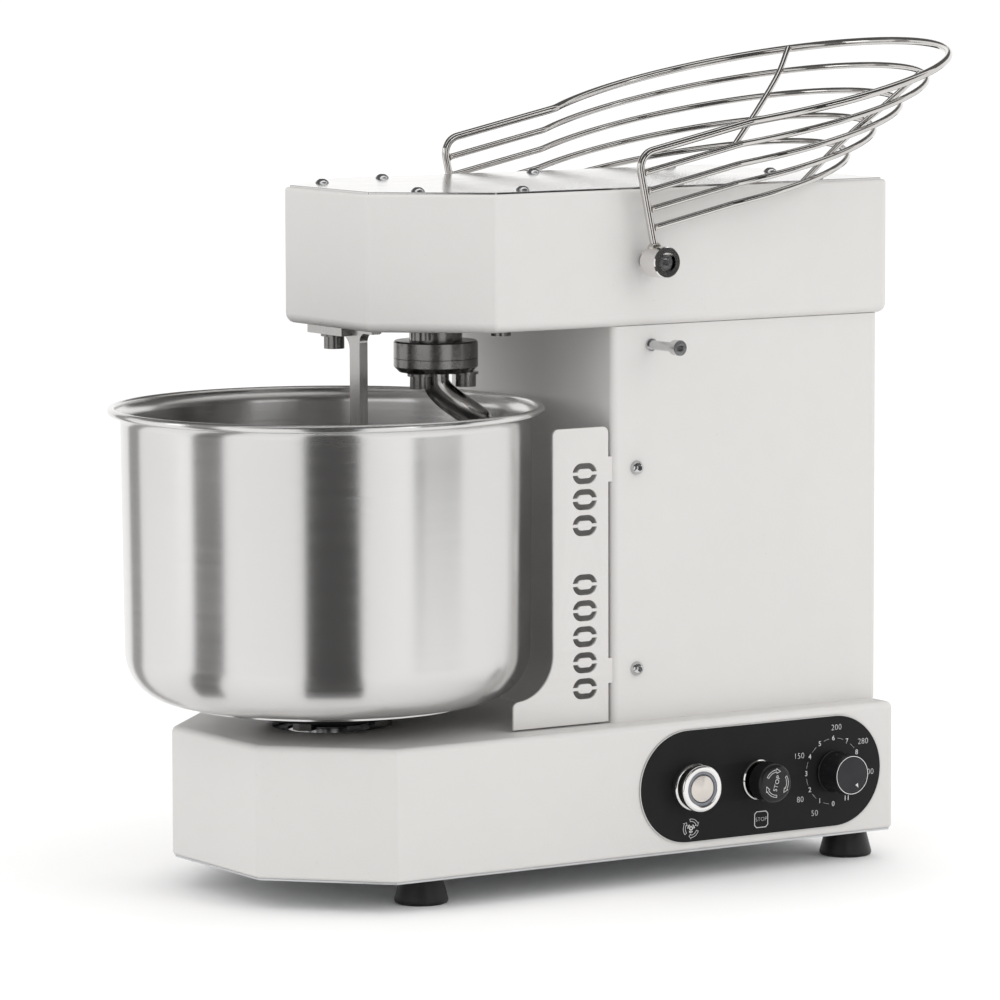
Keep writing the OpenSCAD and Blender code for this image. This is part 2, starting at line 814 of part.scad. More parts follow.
module estop_collar() {
    color([0.85, 0.85, 0.86]) on_panel(estop_y) difference() {
        union() {
            post(13, 0, 4);
            post(11, -24, 0);
        }
        post(6.05, -20, 5);
    }
}

module estop_head() {
    r = estop_d / 2;
    color([0.06, 0.06, 0.06]) on_panel(estop_y) {
        rotate_extrude() {
            translate([0, estop_back]) square([r - 0.6, estop_out - estop_back - 3]);
            translate([0, estop_back + 0.6]) square([r, estop_out - estop_back - 3.6]);
            translate([0, estop_out - 3]) square([r - 3, 3]);
            intersection() {
                translate([r - 3, estop_out - 3]) circle(r = 3);
                translate([r - 3, estop_out - 3]) square(3);
            }
        }
        post(6, -14, estop_back);
    }
}

dial_out = 21;

module speed_dial() {
    r = dial_d / 2;
    color([0.06, 0.06, 0.06]) on_panel(dial_y) difference() {
        union() {
            rotate_extrude() polygon([
                [0, 0.6], [r + 0.6, 0.6], [r + 0.6, 2.2], [r, 3], [r, dial_out - 0.8], [r - 0.8, dial_out], [0, dial_out]
            ]);
            post(3, -8, 0.6);
        }
        translate([0, 0, dial_out - 0.3]) cylinder(r = r - 1.4, h = 1);
    }
}

module dial_potentiometer() {
    color([0.4, 0.4, 0.42]) on_panel(dial_y) difference() {
        union() {
            post(12, -24, -5.2);
            post(3.9, -5.2, -0.2);
        }
        post(3.05, -9, 1);
    }
}

module control_box() {
    color([0.2, 0.22, 0.25]) {
        slab(-96, -28, 70, 172, base_bottom + plate_t, base_bottom + 50);
        for (i = [0 : 9]) slab(-94 + i * 7, -91 + i * 7, 74, 168, base_bottom + 50, base_bottom + 62);
    }
}

gland_x = -70;
gland_z = base_bottom + 40;

module cable_gland() {
    color([0.1, 0.1, 0.1]) translate([gland_x, base_rear, gland_z]) rotate([-90, 0, 0]) difference() {
        union() {
            post(8, -10, 0);
            post(12, 0, 3);
            translate([0, 0, 3]) cylinder(r = 11, h = 6, $fn = 6);
            translate([0, 0, 9]) cylinder(r1 = 9.5, r2 = 7, h = 7);
            translate([0, 0, -10]) cylinder(r = 12, h = 5, $fn = 6);
        }
        post(3.6, -11, 17);
    }
}

// ---- guard ----

hub_in = head_w / 2 + 8.6;
hub_len = 16.7;
hub_out = hub_in + hub_len;
hub_r = 10;
bore_r = 3 + fit;
recess_r = 6.2;
recess = 8;
bolt_len = hub_out - recess - head_w / 2;
arm_len = 69;
corner_r = 11;
kink_r = 14;
weld = 0.5;
joint_gap = 0.3;

// One row per ring, outermost first: distance along the arm, radius, centre distance from the arms
rings = [[arm_len, 137, 164], [57, 134, 147], [45, 128, 130], [33.3, 123, 112], [21.5, 119, 93]];
rib_angles = [[24, 18, 14, 14, 15], [131, 128, 126, 124, 122]];

module guard_frame_place() {
    translate([0, pivot_y, pivot_z]) rotate([guard_tilt, 0, 0]) children();
}

// Arc of round wire about the Z axis, stopping short of both ends where a ball joins the next length
module wire_arc(r, wire_r, from, sweep) {
    short = joint_gap / r * 180 / PI;
    rotate([0, 0, from + short]) rotate_extrude(angle = sweep - 2 * short, $fn = 96)
        translate([r, 0]) circle(r = wire_r, $fn = 32);
}

module wire_ball(p, wire_r) {
    translate(p) sphere(r = wire_r + 0.06, $fn = 32);
}

// Keyhole ring: two straight legs, a small outward bend and a big arc
module guard_loop(r, centre, wire_r, leg_start) {
    mid_x = arm_x + kink_r;
    bend_y = centre - sqrt((r + kink_r) * (r + kink_r) - mid_x * mid_x);
    dip = asin((centre - bend_y) / (r + kink_r));
    mirror_x() {
        rod([arm_x, leg_start, 0], [arm_x, bend_y - joint_gap, 0], wire_r);
        wire_ball([arm_x, bend_y, 0], wire_r);
        translate([mid_x, bend_y, 0]) wire_arc(kink_r, wire_r, 180 - dip, dip);
        wire_ball([r * cos(dip), centre - r * sin(dip), 0], wire_r);
    }
    translate([0, centre, 0]) wire_arc(r, wire_r, -dip, 180 + 2 * dip);
}

module guard_frame() {
    wire_r = arm_d / 2;
    color([0.85, 0.86, 0.87]) guard_frame_place() {
        translate([0, 0, arm_len]) guard_loop(rings[0][1], rings[0][2], wire_r, corner_r + joint_gap);
        mirror_x() {
            rod([arm_x, 0, hub_r - 0.4], [arm_x, 0, arm_len - corner_r - joint_gap], wire_r);
            wire_ball([arm_x, 0, arm_len - corner_r], wire_r);
            wire_ball([arm_x, corner_r, arm_len], wire_r);
            translate([arm_x, corner_r, arm_len - corner_r]) rotate([0, -90, 0]) wire_arc(corner_r, wire_r, 270, 90);
        }
    }
}

module guard_ring(k) {
    color([0.85, 0.86, 0.87]) guard_frame_place() translate([0, 0, rings[k][0]]) {
        guard_loop(rings[k][1], rings[k][2], ring_d / 2, arm_d / 2 - weld);
    }
}

module guard_ring_1() {
    guard_ring(1);
}

module guard_ring_2() {
    guard_ring(2);
}

module guard_ring_3() {
    guard_ring(3);
}

module guard_ring_4() {
    guard_ring(4);
}

function rib_point(k, angles) =
    let (r = rings[k][1] - ring_d + 0.2 - (k == 0 ? (arm_d - ring_d) / 2 : 0))
    [r * cos(angles[k]), rings[k][2] + r * sin(angles[k]), rings[k][0]];

module guard_ribs() {
    color([0.85, 0.86, 0.87]) guard_frame_place() for (angles = rib_angles) {
        for (k = [0 : 3]) {
            a = rib_point(k, angles);
            b = rib_point(k + 1, angles);
            short = (b - a) / norm(b - a) * joint_gap;
            rod(a + short, b - short, ring_d / 2);
        }
        for (k = [0 : 4]) wire_ball(rib_point(k, angles), ring_d / 2);
    }
}

module guard_hubs() {
    color([0.8, 0.8, 0.82]) mirror_x() translate([hub_in, pivot_y, pivot_z]) along_x() difference() {
        rotate_extrude() polygon([
            [0, 0], [hub_r - 0.6, 0], [hub_r, 0.6], [hub_r, hub_len - 0.6], [hub_r - 0.6, hub_len], [0, hub_len]
        ]);
        translate([0, 0, -1]) cylinder(r = bore_r, h = hub_len + 2);
        translate([0, 0, hub_len - recess]) cylinder(r = recess_r, h = recess + 1);
    }
}

module guard_spacers() {
    color([0.7, 0.7, 0.72]) mirror_x() translate([head_w / 2, pivot_y, pivot_z]) along_x() tube(5, 3, 0, 8.3);
}

module guard_pivot_bolts() {
    color([0.6, 0.6, 0.62]) mirror_x() translate([head_w / 2 + bolt_len + 0.3, pivot_y, pivot_z]) along_x() {
        socket_screw(6, bolt_len + 14);
    }
    color([0.6, 0.6, 0.62]) mirror_x() translate([head_w / 2 - sheet - 5, pivot_y, pivot_z]) along_x() difference() {
        cylinder(r = 5.8, h = 5, $fn = 6);
        translate([0, 0, -1]) cylinder(r = 3, h = 7);
    }
}

base_housing();
base_plate();
feet();
foot_screws();
column_housing();
rear_cover();
rear_cover_screws();
head_housing();
head_lid();
lid_screws();
side_plates();
column_screws();
breaker_bar();
breaker_bolt();
spiral_housing();
housing_bolts();
spiral_bearings();
layshaft_blocks();
layshaft_bearings();
bowl_housing();
bowl_bearings();
motor();
motor_plate();
drive_belt();
spiral_belt();
bowl_belt();
control_panel();
button_bezel();
button_led_ring();
estop_collar();
dial_potentiometer();
control_box();
cable_gland();
guard_spacers();
guard_pivot_bolts();
stop_bolts();
guard_frame();
guard_ring_1();
guard_ring_2();
guard_ring_3();
guard_ring_4();
guard_ribs();
guard_hubs();
spiral_shaft();
spiral_pulley();
upper_flange();
lower_flange();
flange_bolts();
spiral_hook();
bowl_shaft();
bowl_pulley();
bowl_flange();
bowl_bolts();
bowl_base_ring();
bowl();
layshaft();
motor_rotor();
start_button();
estop_head();
speed_dial();
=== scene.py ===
import json
import math
import bmesh
import bpy
from mathutils import Matrix, Vector


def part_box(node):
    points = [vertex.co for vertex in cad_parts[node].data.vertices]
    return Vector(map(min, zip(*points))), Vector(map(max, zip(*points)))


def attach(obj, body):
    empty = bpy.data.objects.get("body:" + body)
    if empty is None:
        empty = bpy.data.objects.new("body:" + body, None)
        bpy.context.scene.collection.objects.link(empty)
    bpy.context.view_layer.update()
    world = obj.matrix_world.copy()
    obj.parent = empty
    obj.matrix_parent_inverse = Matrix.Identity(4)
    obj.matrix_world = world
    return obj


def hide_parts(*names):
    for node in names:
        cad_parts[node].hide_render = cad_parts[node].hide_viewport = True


# The looks of a table-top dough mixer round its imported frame. Lengths are in metres where MM multiplies them,
# and in millimetres in the profiles that are scaled when they are placed.

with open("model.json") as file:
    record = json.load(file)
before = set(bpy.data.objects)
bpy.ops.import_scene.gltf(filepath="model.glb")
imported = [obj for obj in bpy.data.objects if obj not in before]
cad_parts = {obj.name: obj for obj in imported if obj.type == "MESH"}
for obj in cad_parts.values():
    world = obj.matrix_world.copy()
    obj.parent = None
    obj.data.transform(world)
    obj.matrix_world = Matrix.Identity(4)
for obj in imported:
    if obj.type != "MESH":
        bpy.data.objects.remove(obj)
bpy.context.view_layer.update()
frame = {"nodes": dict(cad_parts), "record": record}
nodes = frame["nodes"]
scene = bpy.context.scene
MM = 0.001
RELIEF_DEPTH = 0.5 * MM
TURNED_RADIUS = 0.13    # makes the angle round the bowl into a length


# ---------------------------------------------------------------- materials

class Nodes:
    """A small helper that adds and links shader nodes in one tree."""

    def __init__(self, tree):
        self.tree = tree

    def add(self, kind, **settings):
        node = self.tree.nodes.new(kind)
        for key, value in settings.items():
            setattr(node, key, value)
        return node

    def link(self, a, b):
        self.tree.links.new(a, b)

    def math(self, op, a, b=None):
        node = self.add("ShaderNodeMath", operation=op)
        for i, v in enumerate((a, b)):
            if v is None:
                continue
            if isinstance(v, (int, float)):
                node.inputs[i].default_value = v
            else:
                self.link(v, node.inputs[i])
        return node.outputs[0]

    def noise(self, vector, scale, detail=3.0, rough=0.55):
        node = self.add("ShaderNodeTexNoise")
        node.inputs["Scale"].default_value = scale
        node.inputs["Detail"].default_value = detail
        node.inputs["Roughness"].default_value = rough
        self.link(vector, node.inputs["Vector"])
        return node.outputs["Fac"]

    def stretch(self, vector, scale):
        node = self.add("ShaderNodeMapping")
        node.inputs["Scale"].default_value = scale
        self.link(vector, node.inputs["Vector"])
        return node.outputs[0]

    def span(self, value, low, high, to_low, to_high):
        node = self.add("ShaderNodeMapRange", clamp=True)
        node.inputs["From Min"].default_value = low
        node.inputs["From Max"].default_value = high
        node.inputs["To Min"].default_value = to_low
        node.inputs["To Max"].default_value = to_high
        self.link(value, node.inputs["Value"])
        return node.outputs[0]

    def mix(self, fac, a, b):
        node = self.add("ShaderNodeMix", data_type="RGBA")
        self.link(fac, node.inputs["Factor"])
        sockets = [s for s in node.inputs if s.type == "RGBA"]
        for socket, v in zip(sockets, (a, b)):
            if isinstance(v, (tuple, list)):
                socket.default_value = (*v, 1.0)
            else:
                self.link(v, socket)
        return [s for s in node.outputs if s.type == "RGBA"][0]


def around(n, centre):
    """Coordinates that run round a vertical axis: arc length, radius and height."""
    co = n.add("ShaderNodeTexCoord").outputs["Object"]
    split = n.add("ShaderNodeSeparateXYZ")
    n.link(co, split.inputs[0])
    x = n.math("SUBTRACT", split.outputs[0], centre[0])
    y = n.math("SUBTRACT", split.outputs[1], centre[1])
    turn = n.math("ARCTAN2", y, x)
    arc = n.math("MULTIPLY", turn, TURNED_RADIUS)
    rad = n.math("SQRT", n.math("ADD", n.math("MULTIPLY", x, x), n.math("MULTIPLY", y, y)))
    join = n.add("ShaderNodeCombineXYZ")
    n.link(arc, join.inputs[0])
    n.link(rad, join.inputs[1])
    n.link(split.outputs[2], join.inputs[2])
    return join.outputs[0]


def shade(base, f):
    return tuple(max(0.0, min(1.0, c * f)) for c in base)


def surface(name, base, rough, metal=0.0, rough_var=0.05, tone=0.04, grain=(1, 1, 1), grain_scale=50.0,
            patch_scale=9.0, bump=0.05, bump_scale=500.0, turned=None, specks=0.0,
            coat=0.0, aniso=0.0, spec=0.5):
    """One finish: base tone with patches, grain in the roughness, fine relief and a few marks of use."""
    mat = bpy.data.materials.new(name)
    mat.use_nodes = True
    tree = mat.node_tree
    tree.nodes.clear()
    n = Nodes(tree)
    out = n.add("ShaderNodeOutputMaterial")
    bsdf = n.add("ShaderNodeBsdfPrincipled")
    n.link(bsdf.outputs[0], out.inputs[0])
    bsdf.inputs["Metallic"].default_value = metal
    bsdf.inputs["Specular IOR Level"].default_value = spec
    bsdf.inputs["Coat Weight"].default_value = coat
    bsdf.inputs["Coat Roughness"].default_value = 0.1
    bsdf.inputs["Anisotropic"].default_value = aniso
    co = around(n, turned) if turned else n.add("ShaderNodeTexCoord").outputs["Object"]
    patches = n.noise(co, patch_scale, 3.0)
    grained = n.noise(n.stretch(co, grain), grain_scale, 4.0, 0.6)
    both = n.math("ADD", n.math("MULTIPLY", patches, 0.6), n.math("MULTIPLY", grained, 0.4))
    colour = n.mix(n.span(both, 0.3, 0.7, 0.0, 1.0), shade(base, 1 - tone), shade(base, 1 + tone))
    if specks:
        cells = n.add("ShaderNodeTexVoronoi", feature="F1")
        cells.inputs["Scale"].default_value = 160.0
        n.link(co, cells.inputs["Vector"])
        chance = n.span(n.noise(co, 23.0, 2.0), 0.60, 0.72, 0.0, 1.0)
        spot = n.math("MULTIPLY", n.span(cells.outputs["Distance"], 0.05, 0.12, 1.0, 0.0), chance)
        colour = n.mix(n.math("MULTIPLY", spot, specks), colour, shade(base, 0.55))
    n.link(colour, bsdf.inputs["Base Color"])
    n.link(n.span(both, 0.3, 0.7, max(0.02, rough - rough_var), rough + rough_var), bsdf.inputs["Roughness"])
    relief = n.add("ShaderNodeBump")
    relief.inputs["Strength"].default_value = bump
    relief.inputs["Distance"].default_value = RELIEF_DEPTH
    n.link(n.noise(n.stretch(co, grain), bump_scale, 2.0), relief.inputs["Height"])
    n.link(relief.outputs[0], bsdf.inputs["Normal"])
    return mat


bowl_lo, bowl_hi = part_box("bowl")
bowl_axis = ((bowl_lo.x + bowl_hi.x) / 2, (bowl_lo.y + bowl_hi.y) / 2)
flange_lo, flange_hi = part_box("upper_flange")
spiral_axis = ((flange_lo.x + flange_hi.x) / 2, (flange_lo.y + flange_hi.y) / 2)

M = {
    "white_paint": surface("white_paint", (0.60, 0.59, 0.577), 0.42, rough_var=0.07, tone=0.018, bump=0.12,
                           bump_scale=650.0, specks=0.25, patch_scale=6.0),
    "zinc_steel": surface("zinc_steel", (0.55, 0.56, 0.57), 0.34, 1.0, 0.08, 0.08, patch_scale=60.0),
    "foot_rubber": surface("foot_rubber", (0.010, 0.010, 0.0105), 0.42, 0.0, 0.1, 0.25, bump=0.15,
                           bump_scale=900.0, spec=0.3),
    "screw_steel": surface("screw_steel", (0.60, 0.60, 0.61), 0.2, 1.0, 0.06, 0.06, patch_scale=90.0),
    "lid_steel": surface("lid_steel", (0.64, 0.635, 0.63), 0.13, 1.0, 0.05, 0.03, grain=(1, 0.03, 1),
                         grain_scale=420.0, bump=0.03, bump_scale=700.0),
    "bar_steel": surface("bar_steel", (0.50, 0.49, 0.48), 0.24, 1.0, 0.07, 0.07, grain=(1, 1, 0.05),
                         grain_scale=600.0, bump=0.08),
    "dark_steel": surface("dark_steel", (0.22, 0.215, 0.21), 0.24, 1.0, 0.08, 0.15, patch_scale=70.0,
                          bump=0.1),
    "cast_grey": surface("cast_grey", (0.25, 0.26, 0.27), 0.5, 0.8, 0.1, 0.12, bump=0.3),
    "bearing_steel": surface("bearing_steel", (0.55, 0.55, 0.56), 0.22, 1.0, 0.05, 0.05),
    "motor_paint": surface("motor_paint", (0.06, 0.08, 0.11), 0.45, 0.0, 0.06, 0.08, bump=0.2),
    "belt_rubber": surface("belt_rubber", (0.02, 0.02, 0.02), 0.65, 0.0, 0.08, 0.2, bump=0.3),
    "panel_black": surface("panel_black", (0.012, 0.012, 0.0125), 0.5, 0.0, 0.05, 0.12, bump=0.05,
                           bump_scale=1500.0, spec=0.12),
    "bright_metal": surface("bright_metal", (0.78, 0.77, 0.76), 0.12, 1.0, 0.05, 0.04, patch_scale=80.0,
                            bump=0.03),
    "led_plastic": surface("led_plastic", (0.16, 0.17, 0.19), 0.4, 0.0, 0.06, 0.06, bump=0.05),
    "black_plastic": surface("black_plastic", (0.010, 0.010, 0.011), 0.22, 0.0, 0.06, 0.15, bump=0.05,
                             bump_scale=1600.0, spec=0.3),
    "guard_chrome": surface("guard_chrome", (0.58, 0.565, 0.55), 0.08, 1.0, 0.05, 0.06, patch_scale=45.0,
                            bump=0.05, bump_scale=300.0),
    "pulley_aluminium": surface("pulley_aluminium", (0.6, 0.6, 0.61), 0.3, 1.0, 0.06, 0.05),
    "hook_steel": surface("hook_steel", (0.40, 0.39, 0.38), 0.2, 1.0, 0.07, 0.12, patch_scale=40.0, bump=0.12,
                          bump_scale=260.0),
    "bowl_steel": surface("bowl_steel", (0.64, 0.635, 0.63), 0.24, 1.0, 0.05, 0.035, grain=(0.02, 1, 1),
                          grain_scale=520.0, patch_scale=7.0, bump=0.02, bump_scale=900.0, turned=bowl_axis,
                          aniso=0.8),
    "button_metal": surface("button_metal", (0.66, 0.62, 0.58), 0.3, 1.0, 0.05, 0.04, bump=0.05,
                            bump_scale=1500.0, aniso=0.85),
}
PRINT = surface("white_print", (0.62, 0.62, 0.62), 0.5, 0.0, 0.04, 0.05)
DIAL_FACE = surface("dial_face", (0.045, 0.045, 0.048), 0.3, 1.0, 0.05, 0.06, aniso=0.9)
WELD = surface("weld_bead", (0.60, 0.57, 0.53), 0.26, 1.0, 0.08, 0.12, patch_scale=160.0, bump=0.3)
EDGE_LINE = surface("panel_edge", (0.55, 0.55, 0.54), 0.3, 1.0, 0.05, 0.05)

for mat, axis in ((M["button_metal"], "X"), (DIAL_FACE, "X"), (M["bowl_steel"], "Z")):
    tangent = mat.node_tree.nodes.new("ShaderNodeTangent")
    tangent.direction_type = "RADIAL"
    tangent.axis = axis
    mat.node_tree.links.new(tangent.outputs[0], mat.node_tree.nodes["Principled BSDF"].inputs["Tangent"])
    mat.node_tree.nodes["Principled BSDF"].inputs["Anisotropic Rotation"].default_value = 0.25


# ---------------------------------------------------------------- shapes

def keep(name, mesh, mat, body, replaced=(), angle=35.0, weighted=False):
    """Puts a finished mesh in the scene as a piece of the object."""
    ob = bpy.data.objects.new(name, mesh)
    scene.collection.objects.link(ob)
    mesh.materials.clear()
    mesh.materials.append(mat)
    mesh.polygons.foreach_set("use_smooth", [True] * len(mesh.polygons))
    if angle:
        mesh.set_sharp_from_angle(angle=math.radians(angle))
    if weighted:
        mod = ob.modifiers.new("weighted", "WEIGHTED_NORMAL")
        mod.keep_sharp = True
    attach(ob, body)
    if replaced:
        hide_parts(*replaced)
    return ob


def to_mesh(name, bm):
    mesh = bpy.data.meshes.new(name)
    bmesh.ops.recalc_face_normals(bm, faces=bm.faces)
    bm.to_mesh(mesh)
    bm.free()
    return mesh


def join(name, meshes):
    bm = bmesh.new()
    for m in meshes:
        bm.from_mesh(m)
    mesh = bpy.data.meshes.new(name)
    bm.to_mesh(mesh)
    bm.free()
    return mesh


def move(mesh, matrix):
    mesh.transform(matrix)
    if matrix.determinant() < 0:
        mesh.flip_normals()
    return mesh


def housing(outline, z0, z1, side, top=0.0, bottom=0.0, steps=6):
    """A block over a convex counter-clockwise outline, every edge rounded; one ring of points per level."""
    count = len(outline)
    levels = []
    for k in range(steps + 1 if bottom else 1):
        a = math.pi / 2 * k / steps if bottom else math.pi / 2
        levels.append((bottom * (1 - math.sin(a)), z0 + bottom * (1 - math.cos(a))))
    for k in range(steps + 1 if top else 1):
        a = math.pi / 2 * k / steps if top else 0.0
        levels.append((top * (1 - math.cos(a)), z1 - top * (1 - math.sin(a))))
    bm = bmesh.new()
    rings = []
    for inset, z in levels:
        ring = []
        for i in range(count):
            a, b, c = Vector(outline[i - 1]), Vector(outline[i]), Vector(outline[(i + 1) % count])
            u, w = (b - a).normalized(), (c - b).normalized()
            n1, n2 = Vector((-u.y, u.x)), Vector((-w.y, w.x))
            r = max(side - inset, 0.05 * MM)
            middle = b + (n1 + n2) * ((inset + r) / (1 + n1.dot(n2)))
            start = math.atan2(-n1.y, -n1.x)
            turn = n1.angle(n2)
            for k in range(steps + 1):
                t = start + turn * k / steps
                ring.append(bm.verts.new((middle.x + r * math.cos(t), middle.y + r * math.sin(t), z)))
        rings.append(ring)
    bm.faces.new(rings[0][::-1])
    bm.faces.new(rings[-1])
    total = len(rings[0])
    for low, high in zip(rings, rings[1:]):
        for i in range(total):
            j = (i + 1) % total
            bm.faces.new((low[i], low[j], high[j], high[i]))
    return to_mesh("housing", bm)


def cut(mesh, *tools):
    """The mesh with the tool meshes taken away."""
    ob = bpy.data.objects.new("cut", mesh)
    scene.collection.objects.link(ob)
    spare = [ob]
    for t in tools:
        tool = bpy.data.objects.new("tool", t)
        scene.collection.objects.link(tool)
        spare.append(tool)
        mod = ob.modifiers.new("cut", "BOOLEAN")
        mod.object = tool
        mod.operation = "DIFFERENCE"
        mod.solver = "EXACT"
    done = bpy.data.meshes.new_from_object(ob.evaluated_get(bpy.context.evaluated_depsgraph_get()))
    for o in spare:
        bpy.data.objects.remove(o)
    return done


def box_mesh(lo, hi):
    bm = bmesh.new()
    bmesh.ops.create_cube(bm, size=1.0)
    for v in bm.verts:
        v.co = Vector([(lo[i] + hi[i]) / 2 + v.co[i] * (hi[i] - lo[i]) for i in range(3)])
    return to_mesh("box", bm)


def arc(cx, cz, r, a0, a1, count):
    return [(cx + r * math.cos(math.radians(a0 + (a1 - a0) * i / count)),
             cz + r * math.sin(math.radians(a0 + (a1 - a0) * i / count))) for i in range(count + 1)]


def revolve(profile, segments=96, closed=False):
    """Turns a profile of (radius, height) round +Z. Points on the axis close the shape."""
    bm = bmesh.new()
    rings = []
    for r, z in profile:
        if abs(r) < 1e-9:
            rings.append([bm.verts.new((0, 0, z))])
        else:
            rings.append([bm.verts.new((r * math.cos(a), r * math.sin(a), z))
                          for a in (2 * math.pi * k / segments for k in range(segments))])
    pairs = list(zip(rings, rings[1:]))
    if closed:
        pairs.append((rings[-1], rings[0]))
    for a, b in pairs:
        for k in range(segments):
            j = (k + 1) % segments
            if len(a) == 1 and len(b) == 1:
                continue
            if len(a) == 1:
                bm.faces.new((a[0], b[j], b[k]))
            elif len(b) == 1:
                bm.faces.new((a[k], a[j], b[0]))
            else:
                bm.faces.new((a[k], a[j], b[j], b[k]))
    return to_mesh("turned", bm)


def tube(points, radius, sides=18):
    """A round bar along points. radius is one number or one per point."""
    pts = [Vector(p) for p in points]
    radii = radius if isinstance(radius, list) else [radius] * len(pts)
    way = []
    for i in range(len(pts)):
        way.append((pts[min(i + 1, len(pts) - 1)] - pts[max(i - 1, 0)]).normalized())
    up = way[0].orthogonal().normalized()
    bm = bmesh.new()
    rings = []
    for i, p in enumerate(pts):
        if i:
            up = way[i - 1].rotation_difference(way[i]) @ up
        up = (up - way[i] * up.dot(way[i])).normalized()
        side = way[i].cross(up)
        rings.append([bm.verts.new(p + radii[i] * (math.cos(a) * up + math.sin(a) * side))
                      for a in (2 * math.pi * k / sides for k in range(sides))])
    for a, b in zip(rings, rings[1:]):
        for k in range(sides):
            j = (k + 1) % sides
            bm.faces.new((a[k], a[j], b[j], b[k]))
    bm.faces.new(rings[0][::-1])
    bm.faces.new(rings[-1])
    return to_mesh("tube", bm)


def flat(name, loops, thick, edge=0.0):
    """A flat plate in the XY plane from closed outlines, holes included, centred on z = 0."""
    curve = bpy.data.curves.new(name, "CURVE")
    curve.dimensions = "2D"
    curve.fill_mode = "BOTH"
    curve.extrude = thick / 2 - edge
    curve.bevel_depth = edge
    curve.bevel_resolution = 2
    curve.offset = -edge
    for loop in loops:
        spline = curve.splines.new("POLY")
        spline.points.add(len(loop) - 1)
        for p, (x, y) in zip(spline.points, loop):
            p.co = (x, y, 0, 1)
        spline.use_cyclic_u = True
    return curve_mesh(name, curve)


def curve_mesh(name, curve):
    ob = bpy.data.objects.new(name, curve)
    scene.collection.objects.link(ob)
    mesh = bpy.data.meshes.new_from_object(ob.evaluated_get(bpy.context.evaluated_depsgraph_get()))
    bpy.data.objects.remove(ob)
    bm = bmesh.new()
    bm.from_mesh(mesh)
    bmesh.ops.remove_doubles(bm, verts=bm.verts, dist=1e-6)
    bm.to_mesh(mesh)
    bm.free()
    return mesh


def letters(text, size, thick, bold=0.0, turn=0.0):
    """Printed text in the XY plane, centred on the origin."""
    curve = bpy.data.curves.new("print", "FONT")
    curve.body = text
    curve.size = size
    curve.align_x = "CENTER"
    curve.align_y = "CENTER"
    curve.extrude = thick / 2
    curve.offset = bold
    curve.resolution_u = 6
    curve.space_character = 1.06
    mesh = curve_mesh("print", curve)
    return move(mesh, Matrix.Rotation(turn, 4, "Z"))


def ring_loop(cx, cy, r, count=48, reverse=False):
    pts = [(cx + r * math.cos(2 * math.pi * k / count), cy + r * math.sin(2 * math.pi * k / count))
           for k in range(count)]
    return pts[::-1] if reverse else pts


# Plane of the +X side: its own x runs along +Y, its own y along +Z and its own z along +X
SIDE = Matrix(((0, 0, 1, 0), (1, 0, 0, 0), (0, 1, 0, 0), (0, 0, 0, 1)))


def on_side(mesh, x, y, z):
    return move(mesh, Matrix.Translation((x, y, z)) @ SIDE)


# ---------------------------------------------------------------- housings

CUT_SHIFT = 0.41    # how far a corner of the cut moves along its side per millimetre of inset


def cut_outline(lo, hi, cx, cy, inset=0.0):
    """The outline of a box with its two front corners cut off."""
    x = hi.x - inset
    front, rear = lo.y + inset, hi.y - inset
    k = inset * CUT_SHIFT
    return [(-x + cx - k, front), (x - cx + k, front), (x, front + cy - k), (x, rear), (-x, rear),
            (-x, front + cy - k)]


base_lo, base_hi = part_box("base_housing")
col_lo, col_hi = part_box("column_housing")
head_lo, head_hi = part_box("head_housing")
lid_lo, lid_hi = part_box("head_lid")
SHEET = 2 * MM
base_cut = 63.5 * MM

outer = housing(cut_outline(base_lo, base_hi, base_cut, base_cut), base_lo.z, base_hi.z,
                4 * MM, 4.5 * MM, 2.2 * MM)
inner = housing(cut_outline(base_lo, base_hi, base_cut, base_cut, SHEET), base_lo.z - 0.01, base_hi.z - SHEET,
                2 * MM, 2.5 * MM)
hub_hole = revolve([(0, base_hi.z - 0.008), (0.036, base_hi.z - 0.008), (0.036, base_hi.z + 0.008),
                    (0, base_hi.z + 0.008)], 64)
move(hub_hole, Matrix.Translation((bowl_axis[0], bowl_axis[1], 0)))
keep("base_shell", cut(outer, inner, hub_hole), M["white_paint"], "frame", ["base_housing"],
     weighted=True)

wall = housing([(col_lo.x, col_lo.y), (col_hi.x, col_lo.y), (col_hi.x, col_hi.y), (col_lo.x, col_hi.y)],
               col_lo.z, col_hi.z, 4.5 * MM)
hollow = housing([(col_lo.x + SHEET, col_lo.y + SHEET), (col_hi.x - SHEET, col_lo.y + SHEET),
                  (col_hi.x - SHEET, col_hi.y - SHEET), (col_lo.x + SHEET, col_hi.y - SHEET)],
                 col_lo.z - 0.01, col_hi.z + 0.01, 2.5 * MM)
cover_lo, cover_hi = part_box("rear_cover")
window = box_mesh((cover_lo.x + 0.008, col_hi.y - 0.006, cover_lo.z + 0.008),
                  (cover_hi.x - 0.008, col_hi.y + 0.006, cover_hi.z - 0.008))
keep("column_shell", cut(wall, hollow, window), M["white_paint"], "frame", ["column_housing"],
     weighted=True)

